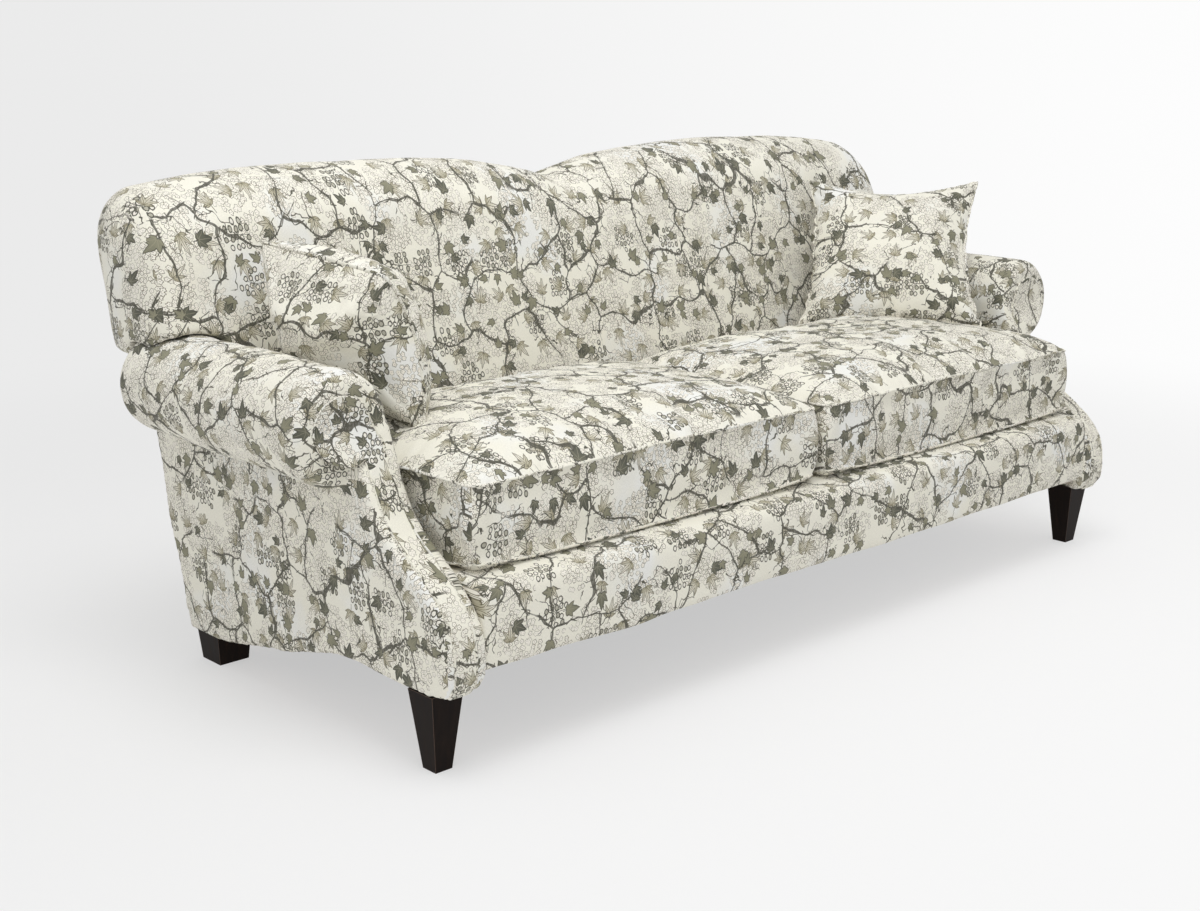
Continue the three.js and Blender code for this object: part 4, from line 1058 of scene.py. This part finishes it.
def seatCushion(side, shift):
    floorZ, panels = seatPanels(side, shift)
    obj, grids = panelMesh(f"seat_cushion_upholstery_{side}", panels)
    points = coords(obj)
    topRing, lowRing = (grids[2][:-1, k].tolist() for k in (-1, 0))
    floor = np.nonzero(points[:, 2] < floorZ + 0.0015)[0].tolist()  # what rests on the deck stays flat
    seams = list(dict.fromkeys(topRing + lowRing))
    weights = [seat["seamHold"]] * len(seams) + [1.0] * len(floor)
    inflated(obj, seat, seams + floor, weights)
    subdivided(obj)
    points, out = coords(obj), normals(obj)
    slept = seat["sleep"] * ripple(points, 0.23, 40 + len(side)) * fade((points[:, 2] - floorZ - 0.01) / 0.02)
    setCoords(obj, points + out * slept[:, None])
    seatSeam(obj, side, "top", topRing, 0.4)
    seatSeam(obj, side, "low", lowRing, -0.4)
    return obj


zipper = {"end": 0.012, "pitch": 0.0021, "length": 0.0034, "radius": 0.0007, "lift": 0.0003, "points": 420}


def zipCoil(side):  # the closed coil of a zip, along the middle of its tape
    low, high = (Vector(v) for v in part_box(f"seat_zip_tape_{side}"))
    line = np.linspace(low.x + zipper["end"], high.x - zipper["end"], zipper["points"])
    path = np.stack([line, np.full_like(line, high.y), np.full_like(line, (low.z + high.z) / 2)], axis=1)
    out = np.tile([0.0, 1.0, 0.0], (len(line), 1))
    return stitchRow(f"seat_zip_coil_{side}", path, out, zipper["pitch"], zipper["length"], zipper["radius"],
                     zipper["lift"])


for side, shift in (("right", (40.0, 3.0)), ("left", (47.3, 5.4))):
    cushion = seatCushion(side, shift)
    dressed(cushion, f"seat_cushion_{side}", f"seat_cover_{side}", fill=0.75)
    dressed(zipCoil(side), f"seat_cushion_{side}", slot="spring_steel")
print("seat cushions made")

# scatter cushions: knife-edge squares blown up from two panels, then leaned into place

scatter = {
    "half": 0.207, "cells": 46, "pull": 0.10, "start": 0.62, "fullness": 0.9, "clothEase": 1.04,
    "faceShift": 1.3, "pressure": 6.0, "frames": 22, "cap": 0.05, "spare": 0.03, "bending": 0.3,
    "cornerHold": 0.95, "seamHold": 0.35, "crease": 0.0016, "swell": 0.0028, "seamWidth": 0.0046,
    "seamHeight": 0.0042, "spacing": 0.004, "tuck": 0.0030, "tuckReach": 0.055, "tuckPitch": 0.034,
    "clearReach": 0.03, "clearGap": 0.0006,
    "right": {"turn": -53, "lean": 38, "bend": 5, "tall": 1.0, "wide": 1.0, "thick": 0.136, "sunk": 0.0,
              "puff": 0.1, "flare": 0.020, "dip": 0.020, "over": "scatter_pad_right"},
    "left": {"turn": 98, "lean": 10, "bend": 60, "tall": 0.82, "wide": 0.84, "thick": 0.152, "sunk": 0.066,
             "puff": 0.55, "flare": 0.0, "dip": 0.0, "over": "scatter_cover_left"},
}


def flatPillow(side, shift):  # two panels joined round their edge, not yet full
    line = np.linspace(-1, 1, scatter["cells"] + 1)
    line = line * 0.75 + np.sin(line * math.pi / 2) * 0.25
    u, v = np.meshgrid(line, line, indexing="ij")
    full = np.sqrt(np.clip((1 - u ** 2) * (1 - v ** 2), 0, 1)) ** scatter["fullness"]
    half = scatter["half"]
    x = u * half * (1 - scatter["pull"] * (1 - v ** 2))
    z = v * half * (1 - scatter["pull"] * (1 - u ** 2))
    cloth = np.stack([u * half * scatter["clothEase"], v * half * scatter["clothEase"]], axis=-1)
    panels = []
    for face, reverse in ((1, True), (-1, False)):
        grid = np.stack([x, face * full * scatter["start"] * scatter[side]["thick"] / 2, z], axis=-1)
        panels.append((grid, cloth + np.array(shift) + face * scatter["faceShift"], reverse))
    obj, grids = panelMesh(f"scatter_upholstery_{side}", panels)
    return obj, grids, line, rimOf(grids[0])[:-1]


def between(values, i, j):  # a grid's values at places between its points
    low, left = (np.minimum(k.astype(int), len(values) - 2) for k in (i, j))
    up, across = i - low, j - left
    return ((values[low, left] * (1 - up) + values[low + 1, left] * up) * (1 - across)
            + (values[low, left + 1] * (1 - up) + values[low + 1, left + 1] * up) * across)


def evenPrint(obj, grids, line, shift):  # spaces the cloth places by the lengths along the finished panels
    flat = readAll(obj.data.uv_layers["cloth"].data, "uv", 2)
    points = coords(obj)
    middle = len(line) // 2
    reach = line * scatter["half"] * scatter["clothEase"]
    for face, grid in zip((1, -1), grids):
        start = np.array(shift) + face * scatter["faceShift"]
        mine = np.abs(flat - start).max(axis=1) < scatter["half"] * 1.1
        i, j = (np.interp(flat[mine, k] - start[k], reach, np.arange(len(line))) for k in (0, 1))
        even = []
        for way in (0, 1):
            steps = np.linalg.norm(np.diff(points[grid], axis=way), axis=2)
            run = np.insert(np.cumsum(steps, axis=way), 0, 0, axis=way)
            even.append(between(run - np.take(run, [middle], axis=way), i, j))
        flat[mine] = start + np.stack(even, axis=1)
    setCloth(obj, flat)


def leaned(points, pose):  # bent back over its height, one upper corner sunk in, and turned
    bend, lean = math.radians(pose["bend"]), math.radians(pose["lean"])
    radius = 2 * scatter["half"] * pose["tall"] / bend
    corner = np.maximum(points[:, 2] - points[:, 0], 0) / (2 * scatter["half"])
    inward = pose["sunk"] * corner ** 2  # grows towards one upper corner
    angle = lean + bend / 2 * (points[:, 2] - inward) / scatter["half"]
    lift = points[:, 1] / math.sqrt(pose["tall"] * pose["wide"])  # fuller as it is pressed smaller
    behind = radius * (math.cos(lean) - np.cos(angle)) + lift * np.cos(angle)
    above = radius * (np.sin(angle) - math.sin(lean)) - lift * np.sin(angle)
    sine, cosine = math.sin(math.radians(pose["turn"])), math.cos(math.radians(pose["turn"]))
    x = (points[:, 0] + inward) * pose["wide"]
    return np.stack([x * cosine - behind * sine, x * sine + behind * cosine, above], axis=1)


def plumped(obj, side, rim):  # blown up, creased, and tucked along its seam
    start = coords(obj)[rim]
    corner = np.abs(start[:, [0, 2]]).min(axis=1) > scatter["half"] * 0.9
    inflated(obj, scatter, rim, np.where(corner, scatter["cornerHold"], scatter["seamHold"]))
    points = coords(obj)
    points[:, 1] *= scatter[side]["thick"] / max(np.ptp(points[:, 1]), 0.02)
    points[:, 1] -= (points[:, 1].max() + points[:, 1].min()) / 2
    setCoords(obj, points)
    subdivided(obj)
    points, out = coords(obj), normals(obj)
    creased = 1 - np.abs(ripple(points * np.array([1.0, 0.4, 1.8]), 0.24, 71 + len(side)))
    swell = scatter["swell"] * ripple(points, 0.16, 31 + len(side)) + scatter["crease"] * creased ** 3
    setCoords(obj, points + out * swell[:, None])
    path = resampled(coords(obj)[rim], scatter["spacing"])
    puckered(obj, path, scatter["spacing"], scatter, 60 + len(side))


def settled(obj, side):  # pulled out at its corners, leaned into its pose and moved to its packed place
    pose = scatter[side]
    points = coords(obj)
    corner = np.maximum(points[:, 0] - points[:, 2], 0) / (2 * scatter["half"])
    points[:, 0] += pose["flare"] * corner ** 3
    middle = np.clip(1 - (points[:, 0] / scatter["half"]) ** 2, 0, 1)
    points[:, 2] -= pose["dip"] * fade(points[:, 2] / scatter["half"]) * middle ** 2
    placed = leaned(points, pose)
    low, high = (np.array(v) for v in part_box(f"scatter_cover_{side}"))
    move = (low + high) / 2 - (placed.min(axis=0) + placed.max(axis=0)) / 2
    puff = pose["puff"] * fade((points[:, 0] + points[:, 2]) / scatter["half"] * 0.42 + 0.58)
    points[:, 1] *= 1 + puff * (points[:, 1] > 0)
    setCoords(obj, leaned(points, pose) + move)
    cleared(obj, pose["over"], scatter["clearReach"], scatter["clearGap"])


def scatterCushion(side, shift):
    obj, grids, line, rim = flatPillow(side, shift)
    plumped(obj, side, rim)
    settled(obj, side)
    evenPrint(obj, grids, line, shift)
    path = resampled(coords(obj)[rim], scatter["spacing"])
    lean = unit(path - coords(obj).mean(axis=0))
    dressed(seamRidge(f"scatter_seam_{side}", path, lean, scatter, True, 5), f"scatter_cushion_{side}")
    return obj


for side, shift in (("right", (60.2, 8.1)), ("left", (66.6, 9.9))):
    pillow = scatterCushion(side, shift)
    dressed(pillow, f"scatter_cushion_{side}", f"scatter_cover_{side}", fill=0.6)
print("scatter cushions made")

# timber, feet, springs and linings that stay as they are packed

wornEdge = {"width": 0.0014, "segments": 3, "limit_method": "ANGLE"}

for row in frame["record"]["subparts"]:
    node = cad[row["node"]]
    if node.hide_render:
        continue
    node.data.materials.clear()
    node.data.materials.append(materials[row["material_slot"]])
    if row["material_slot"] in ("espresso_wood", "frame_timber"):
        edge = node.modifiers.new("worn edge", "BEVEL")
        for name, value in wornEdge.items():
            setattr(edge, name, value)
print("frame and feet finished")

# plain studio: pale floor that runs into a pale backdrop

studio = {"floor": 0.90, "lift": 0.60, "left": 0.83, "right": 0.98, "sky": 0.59, "near": 1.5, "far": 3.4,
          "across": (0.7295, -0.6840, 0.0), "ahead": (0.6840, 0.7295, 0.0), "reach": 0.36, "floorReach": 1.3,
          "span": 40.0, "aim": (0, 0, 0.4),
          "lamps": (("key", 104.0, 2.6, (-0.9, -1.1, 4.6)), ("fill", 15.0, 3.0, (-4.6, -1.8, 2.4)))}


def backdropTone(wire, place, reach):  # light grey on the left of the photo's view, near white on the right
    share = (place.dot(studio["across"]) / reach).step(-1, 1)
    return mixed(wire, share, grey(studio["left"]), grey(studio["right"]))


def seenStraight(wire):  # 1 for what the camera sees, itself or in a gloss, and 0 for light that bounces
    rays = wire.make("ShaderNodeLightPath", None, None, "Is Camera Ray")
    return rays.larger(rays.out("Is Glossy Ray")).larger(rays.out("Is Transmission Ray"))


def addFloor():
    span = studio["span"]
    corners = [(-span, -span, 0), (span, -span, 0), (span, span, 0), (-span, span, 0)]
    floor = meshFrom("floor", corners, [(0, 1, 2, 3)])
    material, wire, shader = newMaterial("floor", 0.9)
    shader.inputs["Base Color"].default_value = grey(studio["floor"])
    shader.inputs["Specular IOR Level"].default_value = 0.1
    place = wire.make("ShaderNodeTexCoord", None, None, "Object")
    depth = abs(place.dot(studio["ahead"])) * studio["reach"] + studio["floorReach"]
    glow = wire.make("ShaderNodeEmission", None, {"Color": backdropTone(wire, place, depth)})
    away = place.length().step(studio["near"], studio["far"])
    share = (away * (1 - studio["lift"]) + studio["lift"]) * seenStraight(wire)
    over = wire.make("ShaderNodeMixShader", None, {0: share, 1: Wire(wire.tree, shader.outputs[0]), 2: glow})
    wire.tree.links.new(over.socket, wire.tree.nodes["Material Output"].inputs["Surface"])
    floor.data.materials.append(material)


def addBackdrop():
    world = bpy.data.worlds.new("studio")
    scene.world = world
    world.use_nodes = True
    wire = Wire(world.node_tree)
    place = wire.make("ShaderNodeTexCoord", None, None, "Generated")
    tone = backdropTone(wire, place, studio["reach"])
    colour = mixed(wire, seenStraight(wire), grey(studio["sky"]), tone)
    wire.tree.links.new(colour.socket, wire.tree.nodes["Background"].inputs["Color"])


def addLamps():
    for name, power, size, at in studio["lamps"]:
        data = bpy.data.lights.new(name, "AREA")
        data.energy = power
        data.size = size
        lamp = bpy.data.objects.new(name, data)
        lamp.location = at
        lamp.rotation_euler = (Vector(studio["aim"]) - Vector(at)).to_track_quat("-Z", "Y").to_euler()
        scene.collection.objects.link(lamp)


addFloor()
addBackdrop()
addLamps()
scene.view_settings.view_transform = "Standard"
print("studio lit")
